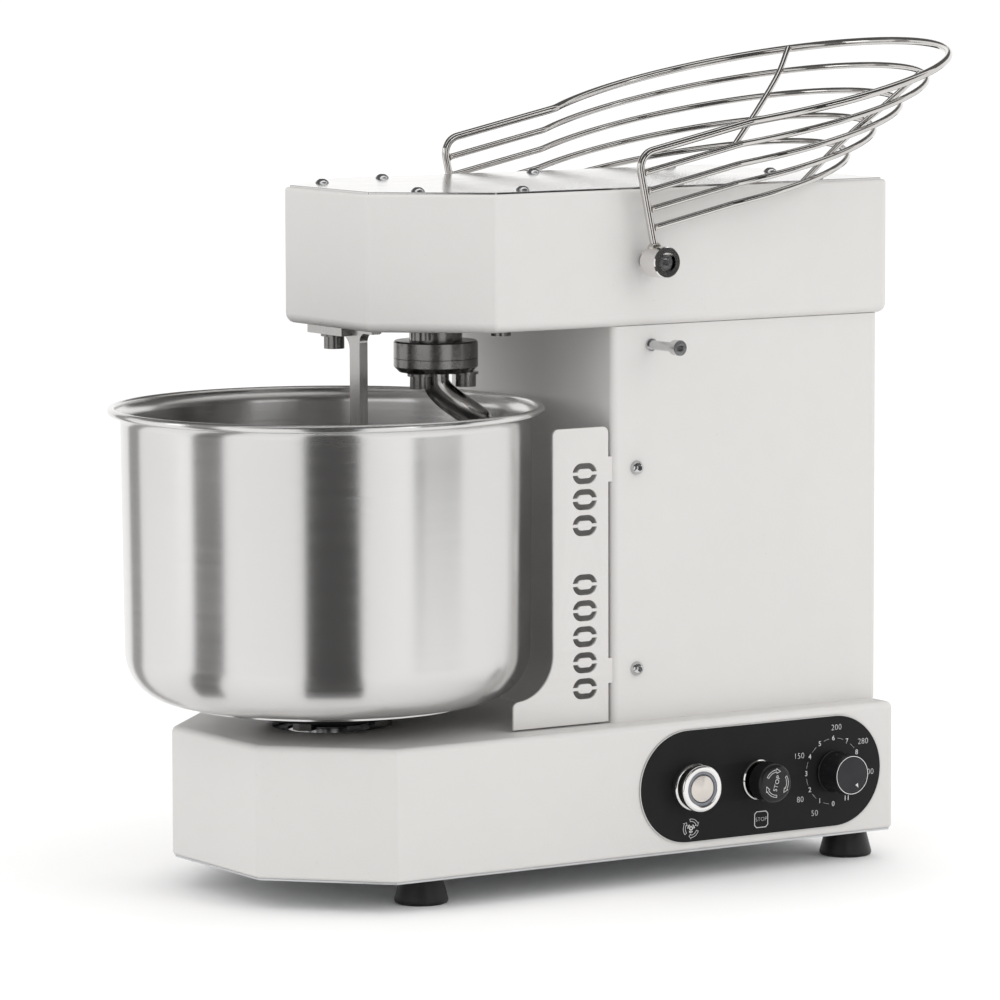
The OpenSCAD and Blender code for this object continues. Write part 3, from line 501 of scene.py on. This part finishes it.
head_cut = (51.7 * MM, 63 * MM)
LIP_WIDTH = 26 * MM
outer = housing(cut_outline(head_lo, head_hi, *head_cut), head_lo.z, head_hi.z, 5 * MM, 2.0 * MM, 6.5 * MM)
inner = housing(cut_outline(head_lo, head_hi, *head_cut, SHEET), head_lo.z + SHEET, head_hi.z - SHEET, 3 * MM,
                1 * MM, 4.5 * MM)
top_hole = housing(cut_outline(head_lo, head_hi, *head_cut, LIP_WIDTH), head_hi.z - 0.003, head_hi.z + 0.003, 0)
shaft_hole = revolve([(0, head_lo.z - 0.01), (0.026, head_lo.z - 0.01), (0.026, head_lo.z + 0.005),
                      (0, head_lo.z + 0.005)], 64)
move(shaft_hole, Matrix.Translation((spiral_axis[0], spiral_axis[1], 0)))
belt_hole = box_mesh((-0.07, 0.012, head_lo.z - 0.01), (0.07, 0.18, head_lo.z + 0.005))
keep("head_shell", cut(outer, inner, top_hole, shaft_hole, belt_hole), M["white_paint"], "frame",
     ["head_housing"], weighted=True)

inset = lid_lo.y - head_lo.y
keep("lid_sheet",
     housing(cut_outline(head_lo, head_hi, *head_cut, inset), lid_lo.z, lid_hi.z, 3 * MM, 0.35 * MM),
     M["lid_steel"], "frame", ["head_lid"], weighted=True)


# ---------------------------------------------------------------- side plates with plain stencil marks

def stadium(cx, cy, half, straight, count=14, reverse=False):
    pts = []
    for k in range(count + 1):
        a = -math.pi / 2 + math.pi * k / count
        pts.append((cx + straight + half * math.cos(a), cy + half * math.sin(a)))
    for k in range(count + 1):
        a = math.pi / 2 + math.pi * k / count
        pts.append((cx - straight + half * math.cos(a), cy + half * math.sin(a)))
    return pts[::-1] if reverse else pts


def half_mark(cy, sign):
    """Half of a flattened ring, above or below its bridge."""
    out_r, in_r, gap, flat_half = 6.6 * MM, 3.0 * MM, 1.0 * MM, 2.5 * MM
    a0, b0 = math.asin(gap / out_r), math.asin(gap / in_r)
    pts = []
    steps = 12
    for side in (1, -1):
        for k in range(steps + 1):
            t = k / steps
            a = a0 + (math.pi / 2 - a0) * (t if side > 0 else 1 - t)
            pts.append((side * (flat_half + out_r * math.cos(a)), out_r * math.sin(a)))
    for side in (-1, 1):
        for k in range(steps + 1):
            t = k / steps
            a = b0 + (math.pi / 2 - b0) * (t if side < 0 else 1 - t)
            pts.append((side * (flat_half + in_r * math.cos(a)), in_r * math.sin(a)))
    return [(x, cy + sign * y) for x, y in pts]


plate_lo, plate_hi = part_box("side_plates")
pf, pr, toe = -50.2 * MM, -8.5 * MM, plate_lo.y
pz, pt, toe_h = plate_lo.z, plate_hi.z, 17.5 * MM
r4, sweep_r = 4 * MM, 28.3 * MM
screw_z = [base_hi.z + 33.8 * MM, base_hi.z + 162.3 * MM]
edge = [(toe, pz), (pr, pz)]
for z in screw_z:
    edge += [(pr, z - 8 * MM), (plate_hi.y, z - 8 * MM), (plate_hi.y, z + 8 * MM), (pr, z + 8 * MM)]
edge += arc(pr - r4, pt - r4, r4, 0, 90, 8)
edge += arc(pf + r4, pt - r4, r4, 90, 180, 8)
edge += arc(pf - sweep_r, pz + toe_h + sweep_r, sweep_r, 0, -90, 20)
edge += arc(toe + r4, pz + toe_h - r4, r4, 90, 180, 8)
marks = []
for z in (23.5, 40.1, 56.7, 73.3, 89.9, 127.5, 144, 160.5):
    for sign in (1, -1):
        marks.append([(x + (pf + pr) / 2 + 3 * MM, y) for x, y in half_mark(base_hi.z + z * MM, sign)])
plate = flat("side_plate", [edge] + marks, SHEET, 0.35 * MM)
both = [on_side(plate.copy(), sign * (plate_hi.x - SHEET / 2), 0, 0) for sign in (1, -1)]
keep("side_plate_pair", join("side_plate_pair", both), M["white_paint"], "frame",
     ["side_plates"], angle=40)


# ---------------------------------------------------------------- bowl

def bowl_profile():
    t, draft, corner, lip, bead = 1.2, 1.5, 32.0, 8.0, 2.5
    low = bowl_lo.z / MM
    bead_z = bowl_hi.z / MM - bead
    reach = (bowl_hi.x - bowl_lo.x) / 2 / MM
    wall_r = reach - lip - 0.1
    low_r = wall_r - draft
    cz = low + corner
    wall_top = bead_z - lip + bead - 2
    cx = low_r - corner
    pts = [(0, low)] + arc(cx, cz, corner, -90, 0, 22)
    pts += [(wall_r - draft * (1 - k / 8), cz + (wall_top - cz) * k / 8) for k in range(1, 8)]
    fx = wall_r - t + lip
    pts += arc(fx, wall_top, lip - t, 180, 112, 10)
    pts += arc(reach - bead, bead_z, bead, 235, 520, 26)
    pts += arc(fx, wall_top, lip, 112, 180, 10)
    pts += [(wall_r - t - draft * (k / 8), wall_top + (cz - wall_top) * k / 8) for k in range(1, 8)]
    pts += arc(cx, cz, corner - t, 0, -90, 22)
    pts += [(0, low + t)]
    return [(r * MM, z * MM) for r, z in pts]


bowl = revolve(bowl_profile(), 192)
move(bowl, Matrix.Translation((bowl_axis[0], bowl_axis[1], 0)))
keep("bowl_body", bowl, M["bowl_steel"], "turning_bowl", ["bowl"], angle=50)


# ---------------------------------------------------------------- spiral hook

def ease(t):
    u = min(1.0, max(0.0, t))
    return u * u * (3 - 2 * u)


bar = 8.5 * MM
reach = 36 * MM
top_z, low_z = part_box("spiral_hook")[1].z, 136 * MM


def hook_point(t):
    a = math.radians(56 + 400 * max(0, t - 0.1) / 0.9 * ease((t - 0.06) / 0.2))
    r = reach * ease((t - 0.03) / 0.2) - 0.6 * reach * ease((t - 0.88) / 0.12)
    return (spiral_axis[0] + r * math.cos(a), spiral_axis[1] + r * math.sin(a), top_z + (low_z - top_z) * t)


count = 220
path = [hook_point(i / count) for i in range(count + 1)]
radii = [bar * 0.995 * min(1.0, 0.55 + 0.45 * math.sqrt(max(0.0, 1 - (1 - min(1.0, (count - i) / 5)) ** 2)))
         for i in range(count + 1)]
keep("hook_bar", tube(path, radii, 32), M["hook_steel"], "spiral", ["spiral_hook"], angle=50)


# ---------------------------------------------------------------- wire guard

hub_lo, hub_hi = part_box("guard_hubs")
pivot = Vector((0, (hub_lo.y + hub_hi.y) / 2, (hub_lo.z + hub_hi.z) / 2))
TILT = Matrix.Translation(pivot) @ Matrix.Rotation(math.radians(12), 4, "X")
arm_x, kink = 115.0, 14.0
wire, thin = 2.5, 2.0    # radii
# Each wire of the guard from the outside in: height, radius and centre, in millimetres
RINGS = [(69.0, 137.0, 164.0), (57.0, 134.0, 147.0), (45.0, 128.0, 130.0), (33.3, 123.0, 112.0),
         (21.5, 119.0, 93.0)]


def half_loop(r, centre, start):
    """From the arm to the middle of the far side, on +X."""
    mid = arm_x + kink
    bend = centre - math.sqrt((r + kink) ** 2 - mid ** 2)
    dip = math.degrees(math.asin((centre - bend) / (r + kink)))
    pts = [(arm_x, start + (bend - start) * k / 10) for k in range(10)]
    pts += arc(mid, bend, kink, 180, 180 - dip, 8)[:-1]
    pts += arc(0, centre, r, -dip, 90, 60)
    return pts


def full_loop(r, centre, start, height):
    half = half_loop(r, centre, start)
    other = [(-x, y) for x, y in half[:-1]][::-1]
    return [Vector((x * MM, y * MM, height * MM)) for x, y in half + other]


def placed(mesh):
    """Tips a guard mesh into the open rest position."""
    return move(mesh, TILT)


n0, r0, c0 = RINGS[0]
corner = 11.0
hub_r = (hub_hi.y - hub_lo.y) / 2 / MM
side = [(0, hub_r - 0.4 + (n0 - corner - hub_r) * k / 6) for k in range(6)]
side += [(corner - corner * math.cos(math.radians(a)), n0 - corner + corner * math.sin(math.radians(a)))
         for a in range(0, 90, 9)]
arm = [Vector((arm_x * MM, y * MM, z * MM)) for y, z in side]
loop = full_loop(r0, c0, corner, n0)
outer_path = arm + loop + [Vector((-p.x, p.y, p.z)) for p in arm][::-1]
keep("guard_outer", placed(tube(outer_path, wire * MM, 22)), M["guard_chrome"], "guard",
     ["guard_frame"], angle=60)
for k in range(1, 5):
    n, r, c = RINGS[k]
    keep("guard_wire_%d" % k, placed(tube(full_loop(r, c, wire - 0.6, n), thin * MM)), M["guard_chrome"],
         "guard", ["guard_ring_%d" % k], angle=60)

# Where each rib meets the five wires, in degrees
RIBS = [(24, 18, 14, 14, 15), (131, 128, 126, 124, 122)]


def rib_point(k, angle, gap):
    n, r, c = RINGS[k]
    r = r - gap - (0.5 if k == 0 else 0)
    a = math.radians(angle)
    return Vector((r * math.cos(a) * MM, (c + r * math.sin(a)) * MM, n * MM))


def smooth_path(pts, steps=8):
    """Passes through every point with soft bends between them."""
    out = []
    for i in range(len(pts) - 1):
        p0, p1, p2, p3 = pts[max(i - 1, 0)], pts[i], pts[i + 1], pts[min(i + 2, len(pts) - 1)]
        for s in range(steps):
            t = s / steps
            out.append(0.5 * ((2 * p1) + (p2 - p0) * t + (2 * p0 - 5 * p1 + 4 * p2 - p3) * t * t
                              + (3 * p1 - p0 - 3 * p2 + p3) * t ** 3))
    return out + [pts[-1]]


ribs, beads = [], []
for angles in RIBS:
    pts = [rib_point(k, angles[k], 3.8) for k in range(5)]
    first = pts[0] + (pts[0] - pts[1]).normalized() * 2 * MM
    last = pts[4] + (pts[4] - pts[3]).normalized() * 2 * MM
    ribs.append(tube(smooth_path([first] + pts[1:4] + [last]), thin * 0.99 * MM))
    for k in range(5):
        p = rib_point(k, angles[k], 2.0)
        out = Vector((p.x, p.y - RINGS[k][2] * MM, 0)).normalized()
        along = Vector((-out.y, out.x, 0))
        for s in (-1, 1):
            bm = bmesh.new()
            bmesh.ops.create_uvsphere(bm, u_segments=14, v_segments=8, radius=1.5 * MM)
            m = to_mesh("bead", bm)
            beads.append(move(m, Matrix.Translation(p + along * s * 1.3 * MM)))
keep("guard_rib_pair", placed(join("guard_rib_pair", ribs)), M["guard_chrome"], "guard",
     ["guard_ribs"], angle=60)
for s in (1, -1):
    for k in range(1, 5):
        n = RINGS[k][0]
        collar = revolve([(0, 0), (2.75, 0), (2.75, 0.5), (2.3, 1.5), (thin, 2.1), (0, 2.1)], 20)
        move(collar, Matrix.Scale(MM, 4))
        move(collar, Matrix.Translation((s * arm_x * MM, (wire - 0.7) * MM, n * MM)) @ Matrix.Rotation(
            math.radians(-90), 4, "X"))
        beads.append(collar)
    foot = revolve([(0, -1.2), (4.6, -1.2), (4.3, 0.3), (3.4, 1.3), (wire, 2.2), (0, 2.2)], 28)
    move(foot, Matrix.Scale(MM, 4))
    beads.append(move(foot, Matrix.Translation((s * arm_x * MM, 0, hub_r * MM))))
keep("guard_welds", placed(join("guard_welds", beads)), WELD, "guard", angle=60)


# ---------------------------------------------------------------- feet

foot_lo, foot_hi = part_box("feet")
foot = revolve([(0, 1.2), (6, 1.2), (7, 0.3), (15.4, 0), (16.5, 0.5), (17.0, 1.6), (16.9, 3.0), (13.6, 15.4),
                (13.0, 17.4), (12.2, 18.6), (11.4, 19), (0, 19)], 64)
move(foot, Matrix.Scale(MM, 4))
foot_r = 17 * MM
back_y = foot_hi.y - foot_r
front_y = foot_lo.y + foot_r
front_x, back_x = 84 * MM, 86 * MM
spots = [(front_x, front_y), (-front_x, front_y), (back_x, back_y), (-back_x, back_y)]
keep("rubber_feet", join("rubber_feet", [move(foot.copy(), Matrix.Translation((x, y, 0))) for x, y in spots]),
     M["foot_rubber"], "frame", ["feet"], angle=50)


# ---------------------------------------------------------------- controls

panel_lo, panel_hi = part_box("control_panel")
face = panel_hi.x
cz = (panel_lo.z + panel_hi.z) / 2
pan_r = (panel_hi.z - panel_lo.z) / 2


def middle(node):
    lo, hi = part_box(node)
    return (lo.y + hi.y) / 2


button_y, stop_y, dial_y = middle("start_button"), middle("estop_head"), middle("speed_dial")
mid, straight = (panel_lo.y + panel_hi.y) / 2, (panel_hi.y - panel_lo.y) / 2 - pan_r
border = 0.7 * MM
hole_r = 11 * MM    # behind the button and the stop, which move in when pressed
plate = flat("panel", [stadium(mid, cz, pan_r - border, straight, 40),
                       ring_loop(button_y, cz, hole_r, reverse=True),
                       ring_loop(stop_y, cz, hole_r, reverse=True)], 1 * MM, 0.12 * MM)
keep("panel_plate", on_side(plate, face - 0.5 * MM, 0, 0), M["panel_black"], "frame",
     ["control_panel"], angle=40)
rim = flat("panel_rim", [stadium(mid, cz, pan_r, straight, 40),
                         stadium(mid, cz, pan_r - border, straight, 40)], 0.9 * MM, 0.1 * MM)
keep("panel_rim", on_side(rim, face - 0.5 * MM, 0, 0), EDGE_LINE, "frame", angle=40)


def turned(profile, y, closed=False):
    """A turned part of the panel from (radius, height) in millimetres, standing out along +X."""
    return on_side(revolve([(r * MM, h * MM) for r, h in profile], 80, closed), face, y, cz)


bezel = turned([(11, 0), (14.4, 0), (15, 0.6), (15, 4.6), (14.4, 5.2), (13.7, 5.4), (13.7, 9.4), (14.4, 9.6),
                (15, 10.2), (15, 12.4), (14.8, 13), (14.2, 13.5), (13.4, 13.6), (11.7, 13.6), (11.1, 13.2),
                (11, 12.6)], button_y, closed=True)
keep("button_collar", bezel, M["bright_metal"], "frame", ["button_bezel"])
groove = turned([(13.72, 5.5), (13.95, 5.6), (13.95, 9.3), (13.72, 9.4)], button_y, closed=True)
keep("button_groove", groove, M["black_plastic"], "frame")
led = turned([(9.15, 3), (10.95, 3), (10.95, 12.9), (10.8, 13.15), (9.4, 13.15), (9.15, 12.9)], button_y,
             closed=True)
keep("button_light", led, M["led_plastic"], "frame", ["button_led_ring"])
cap = turned([(0, 1), (8.4, 1), (8.78, 1.4), (8.78, 12.6), (8.5, 13.0), (8.1, 13.15), (0, 12.95)], button_y)
keep("button_face", cap, M["button_metal"], "button_cap", ["start_button"])

collar = turned([(6.1, 0), (12.6, 0), (13, 0.5), (13, 3.3), (12.4, 4.0), (6.1, 4.0)], stop_y, closed=True)
keep("stop_collar", collar, M["bright_metal"], "frame", ["estop_collar"])
stop_top = (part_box("estop_head")[1].x - face) / MM
mush = [(0, 3.2), (6, 3.2), (6, 8.5), (12.2, 8.5), (12.8, 9.1)] + [
    (12.8 - 3.4 + 3.4 * math.cos(math.radians(a)), stop_top - 3.4 + 3.4 * math.sin(math.radians(a)))
    for a in range(0, 91, 10)] + [(7, stop_top - 0.05), (0, stop_top - 0.2)]
keep("stop_knob", turned(mush, stop_y), M["black_plastic"], "stop_head", ["estop_head"])

dial_lo, dial_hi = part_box("speed_dial")
top = (dial_hi.x - face) / MM
k = (dial_hi.z - dial_lo.z) / 2 / MM - 0.6
knob = turned([(0, 0.6), (k + 0.4, 0.6), (k + 0.6, 0.9), (k + 0.6, 1.9), (k + 0.2, 2.4), (k, 3.2),
               (k, top - 1.1), (k - 0.25, top - 0.4), (k - 0.8, top - 0.02), (k - 1.2, top - 0.1),
               (k - 1.35, top - 0.3), (0, top - 0.3)], dial_y)
keep("dial_knob", knob, M["black_plastic"], "dial", ["speed_dial"])
disc = turned([(0, top - 0.38), (k - 1.5, top - 0.38), (k - 1.5, top - 0.22), (0, top - 0.22)], dial_y)
keep("dial_disc", disc, DIAL_FACE, "dial")
line = turned([(k - 0.95, top - 0.25), (k - 0.6, top - 0.25), (k - 0.6, top - 0.01),
               (k - 0.95, top - 0.01)], dial_y, closed=True)
keep("dial_line", line, M["bright_metal"], "dial")


def printed(name, meshes, body, height):
    keep(name, on_side(join(name, meshes), face + height, 0, 0), PRINT, body, angle=0)


def spot(mesh, y, z):
    return move(mesh, Matrix.Translation((y, z, 0)))


FILM = 0.08 * MM
scale_marks = []
radius = 21.5 * MM
for i in range(12):
    a = math.radians(-90 - 30 * i)
    number = letters(str(i), 4.6 * MM, FILM, 0.00003 if i < 11 else 0.0001)
    scale_marks.append(spot(number, dial_y + radius * math.cos(a), cz + radius * math.sin(a)))
for text, across, above in (("50", -14.8, -26.4), ("80", -26.2, -16.5), ("150", -27.2, 12.0),
                            ("200", 2.4, 28.3), ("280", 23.7, 17.5), ("300", 28.2, -3.0)):
    scale_marks.append(spot(letters(text, 5.4 * MM, FILM, -0.0001), dial_y + across * MM, cz + above * MM))
for i in range(11):
    a0, a1 = -90 - 30 * i - 9, -90 - 30 * i - 21
    pts = arc(0, 0, 21.55 * MM, a0, a1, 8) + arc(0, 0, 21.4 * MM, a1, a0, 8)
    scale_marks.append(spot(flat("dash", [pts], FILM), dial_y, cz))


def arrow(r, width, a0, a1, head):
    """A curved arrow outline in the XY plane that turns clockwise from a0 to a1."""
    lo_r, hi_r = r - width / 2, r + width / 2
    pts = arc(0, 0, hi_r, a0, a1, 10)
    barb = width * 0.55
    for reach_r, degrees in ((hi_r + barb, a1), (r, a1 - head), (lo_r - barb, a1)):
        t = math.radians(degrees)
        pts.append((reach_r * math.cos(t), reach_r * math.sin(t)))
    pts += arc(0, 0, lo_r, a1, a0, 10)
    return pts


def shrink(pts, d):
    """The outline moved in by d, for a hollow line drawing."""
    out = []
    size = len(pts)
    area = sum(pts[i][0] * pts[(i + 1) % size][1] - pts[(i + 1) % size][0] * pts[i][1] for i in range(size))
    turn = 1 if area > 0 else -1
    for i in range(size):
        a, b, c = Vector(pts[i - 1]), Vector(pts[i]), Vector(pts[(i + 1) % size])
        u, v = (b - a).normalized(), (c - b).normalized()
        n1, n2 = Vector((-u.y, u.x)) * turn, Vector((-v.y, v.x)) * turn
        out.append(tuple(b + (n1 + n2) * d / max(0.4, 1 + n1.dot(n2))))
    return out


icons = []
ICON_Z = cz - 27.2 * MM
STOP_ICON = (stop_y + 3.2 * MM, cz - 26.4 * MM)
for i in range(3):
    shape = arrow(5.2 * MM, 1.9 * MM, 100 - 120 * i, 30 - 120 * i, 20)
    icons.append(spot(flat("run", [shape, shrink(shape, 0.32 * MM)], FILM), button_y, ICON_Z))
eye = flat("eye", [ring_loop(0, 0, 1.5 * MM), ring_loop(0, 0, 0.7 * MM)], FILM)
icons.append(spot(eye, button_y, ICON_Z))
for i in range(3):
    shape = arrow(2.4 * MM, 0.8 * MM, 60 - 120 * i, 10 - 120 * i, 20)
    icons.append(spot(flat("run_small", [shape], FILM), button_y, ICON_Z))
q, c2 = 5.4 * MM, 1.7 * MM
octagon = [(-q + c2, -q), (q - c2, -q), (q, -q + c2), (q, q - c2), (q - c2, q), (-q + c2, q),
           (-q, q - c2), (-q, -q + c2)]
icons.append(spot(flat("stop_box", [octagon, shrink(octagon, 0.5 * MM)], FILM), *STOP_ICON))
icons.append(spot(letters("STOP", 3.7 * MM, FILM, -0.00008), *STOP_ICON))
printed("panel_print", scale_marks + icons, "frame", 0.02 * MM)

knob_marks = [spot(letters("STOP", 4.2 * MM, FILM, -0.00002, math.radians(74)), stop_y, cz)]
for start in (150, 30, -90):
    shape = arrow(8.2 * MM, 1.7 * MM, start, start - 58, 24)
    knob_marks.append(spot(flat("turn", [shape, shrink(shape, 0.32 * MM)], FILM), stop_y, cz))
printed("stop_print", knob_marks, "stop_head", (stop_top - 0.04) * MM)

tri = [(9.9 * MM, 0), (7.0 * MM, 1.15 * MM), (7.0 * MM, -1.15 * MM)]
pointer = move(flat("pointer", [tri], FILM), Matrix.Rotation(math.radians(-60), 4, "Z"))
printed("dial_pointer", [spot(pointer, dial_y, cz)], "dial", (top - 0.17) * MM)


# ---------------------------------------------------------------- CAD nodes that stay

slots = {s["node"]: s["material_slot"] for s in frame["record"]["subparts"]}
for name, ob in nodes.items():
    for s in ob.material_slots:
        s.material = M[slots[name]]
    if not ob.material_slots:
        ob.data.materials.append(M[slots[name]])


# ---------------------------------------------------------------- floor, light and camera

bm = bmesh.new()
bmesh.ops.create_grid(bm, x_segments=1, y_segments=1, size=60)
floor = bpy.data.objects.new("floor", to_mesh("floor", bm))
scene.collection.objects.link(floor)
floor.data.materials.append(surface("floor_white", (0.93, 0.93, 0.93), 0.9, 0.0, 0.02, 0.004, bump=0.0,
                                    spec=0.1))


CARD_FAR, CARD_FOOT, CARD_LIFT = 1.05, 0.19, 0.003


def card(name, azimuth, wide, high, low, value):
    """A matt board that shows only in glossy reflections; low 0 adds a foot along the floor to the bowl."""
    m = bpy.data.materials.new(name)
    m.use_nodes = True
    bsdf = m.node_tree.nodes["Principled BSDF"]
    bsdf.inputs["Base Color"].default_value = (0, 0, 0, 1)
    bsdf.inputs["Specular IOR Level"].default_value = 0.0
    bsdf.inputs["Emission Color"].default_value = (1.0, 0.985, 0.97, 1)
    bsdf.inputs["Emission Strength"].default_value = value
    levels = [(CARD_FAR, low + CARD_LIFT), (CARD_FAR, low + high)]
    if low == 0:
        levels.insert(0, (CARD_FOOT, CARD_LIFT))
    b = bmesh.new()
    rows = [[b.verts.new((r, side * wide / 2 * r / CARD_FAR, z)) for side in (-1, 1)] for r, z in levels]
    for p, q in zip(rows, rows[1:]):
        b.faces.new((p[0], p[1], q[1], q[0]))
    mesh = to_mesh(name, b)
    ob = bpy.data.objects.new(name, mesh)
    mesh.materials.append(m)
    scene.collection.objects.link(ob)
    ob.location = (bowl_axis[0], bowl_axis[1], 0)
    ob.rotation_euler = (0, 0, math.radians(azimuth))
    ob.visible_camera = False
    ob.visible_diffuse = False
    ob.visible_shadow = False
    return ob


card("card_behind_camera", -28, 0.54, 1.5, 0.0, 0.09)
card("card_left", -97, 0.36, 1.5, 0.0, 0.2)
card("card_right", 18.5, 0.11, 1.0, 0.13, 0.05)
card("card_far_left", -162, 0.30, 1.5, 0.0, 0.4)
card("card_rear", 128, 0.8, 0.36, 0.001, 0.04)    # just above 0, so it has no foot
card("card_upper_right", 33, 0.45, 0.5, 0.19, 0.06)


def ceiling(name, x0, x1, z, value):
    """A board of the same kind lying level over the object."""
    ob = card(name, 0, 1, 1, 1, value)
    for v, (x, y) in zip(ob.data.vertices, ((x0, -2.2), (x0, 2.2), (x1, -2.2), (x1, 2.2))):
        v.co = (x, y, 0)
    ob.location = (0, 0, z)


ceiling("card_over_near", 0.25, 2.2, 1.3, 0.08)
ceiling("card_over_far", -2.2, -0.05, 1.3, 0.13)


LIGHT_AIM = Vector((0, 0, 0.25))


def area(name, direction, far, size, power):
    data = bpy.data.lights.new(name, "AREA")
    data.shape = "RECTANGLE"
    data.size = data.size_y = size
    data.energy = power
    ob = bpy.data.objects.new(name, data)
    scene.collection.objects.link(ob)
    d = Vector(direction).normalized()
    ob.location = LIGHT_AIM + d * far
    ob.rotation_euler = d.to_track_quat("Z", "Y").to_euler()
    return ob


area("key", (1.0, 0.35, 0.55), 2.4, 1.3, 8)
area("top", (0.1, 0.1, 1.0), 2.6, 2.2, 6)
area("front", (-0.25, -1.0, 0.35), 2.6, 1.4, 8)

world = bpy.data.worlds.new("studio")
scene.world = world
world.use_nodes = True
world.node_tree.nodes["Background"].inputs["Color"].default_value = (1.0, 0.995, 0.99, 1)
world.node_tree.nodes["Background"].inputs["Strength"].default_value = 1.12

scene.view_settings.view_transform = "Standard"
scene.view_settings.look = "None"
scene.view_settings.exposure = 0.0

# The camera fitted to the photograph
az, pitch, roll = math.radians(57.34), math.radians(6.30), math.radians(-0.17)
back = Vector((math.sin(az) * math.cos(pitch), -math.cos(az) * math.cos(pitch), math.sin(pitch)))
right = Vector((math.cos(az), math.sin(az), 0))
up = back.cross(right)
right_r = right * math.cos(roll) + up * math.sin(roll)
up_r = up * math.cos(roll) - right * math.sin(roll)
camera_data = bpy.data.cameras.new("camera")
camera_data.sensor_width = 36.0
camera_data.lens = 211.96
camera_data.clip_start = 0.1
camera_data.clip_end = 200.0
camera = bpy.data.objects.new("camera", camera_data)
scene.collection.objects.link(camera)
TARGET, CAMERA_FAR, SHIFT_LEFT, SHIFT_UP = Vector((0, -0.0135, 0.230)), 3.80358, 0.01319, 0.00778
spot_at = TARGET + back * CAMERA_FAR - right_r * SHIFT_LEFT + up_r * SHIFT_UP
camera.matrix_world = Matrix(((right_r.x, up_r.x, back.x, spot_at.x), (right_r.y, up_r.y, back.y, spot_at.y),
                              (right_r.z, up_r.z, back.z, spot_at.z), (0, 0, 0, 1)))
scene.camera = camera
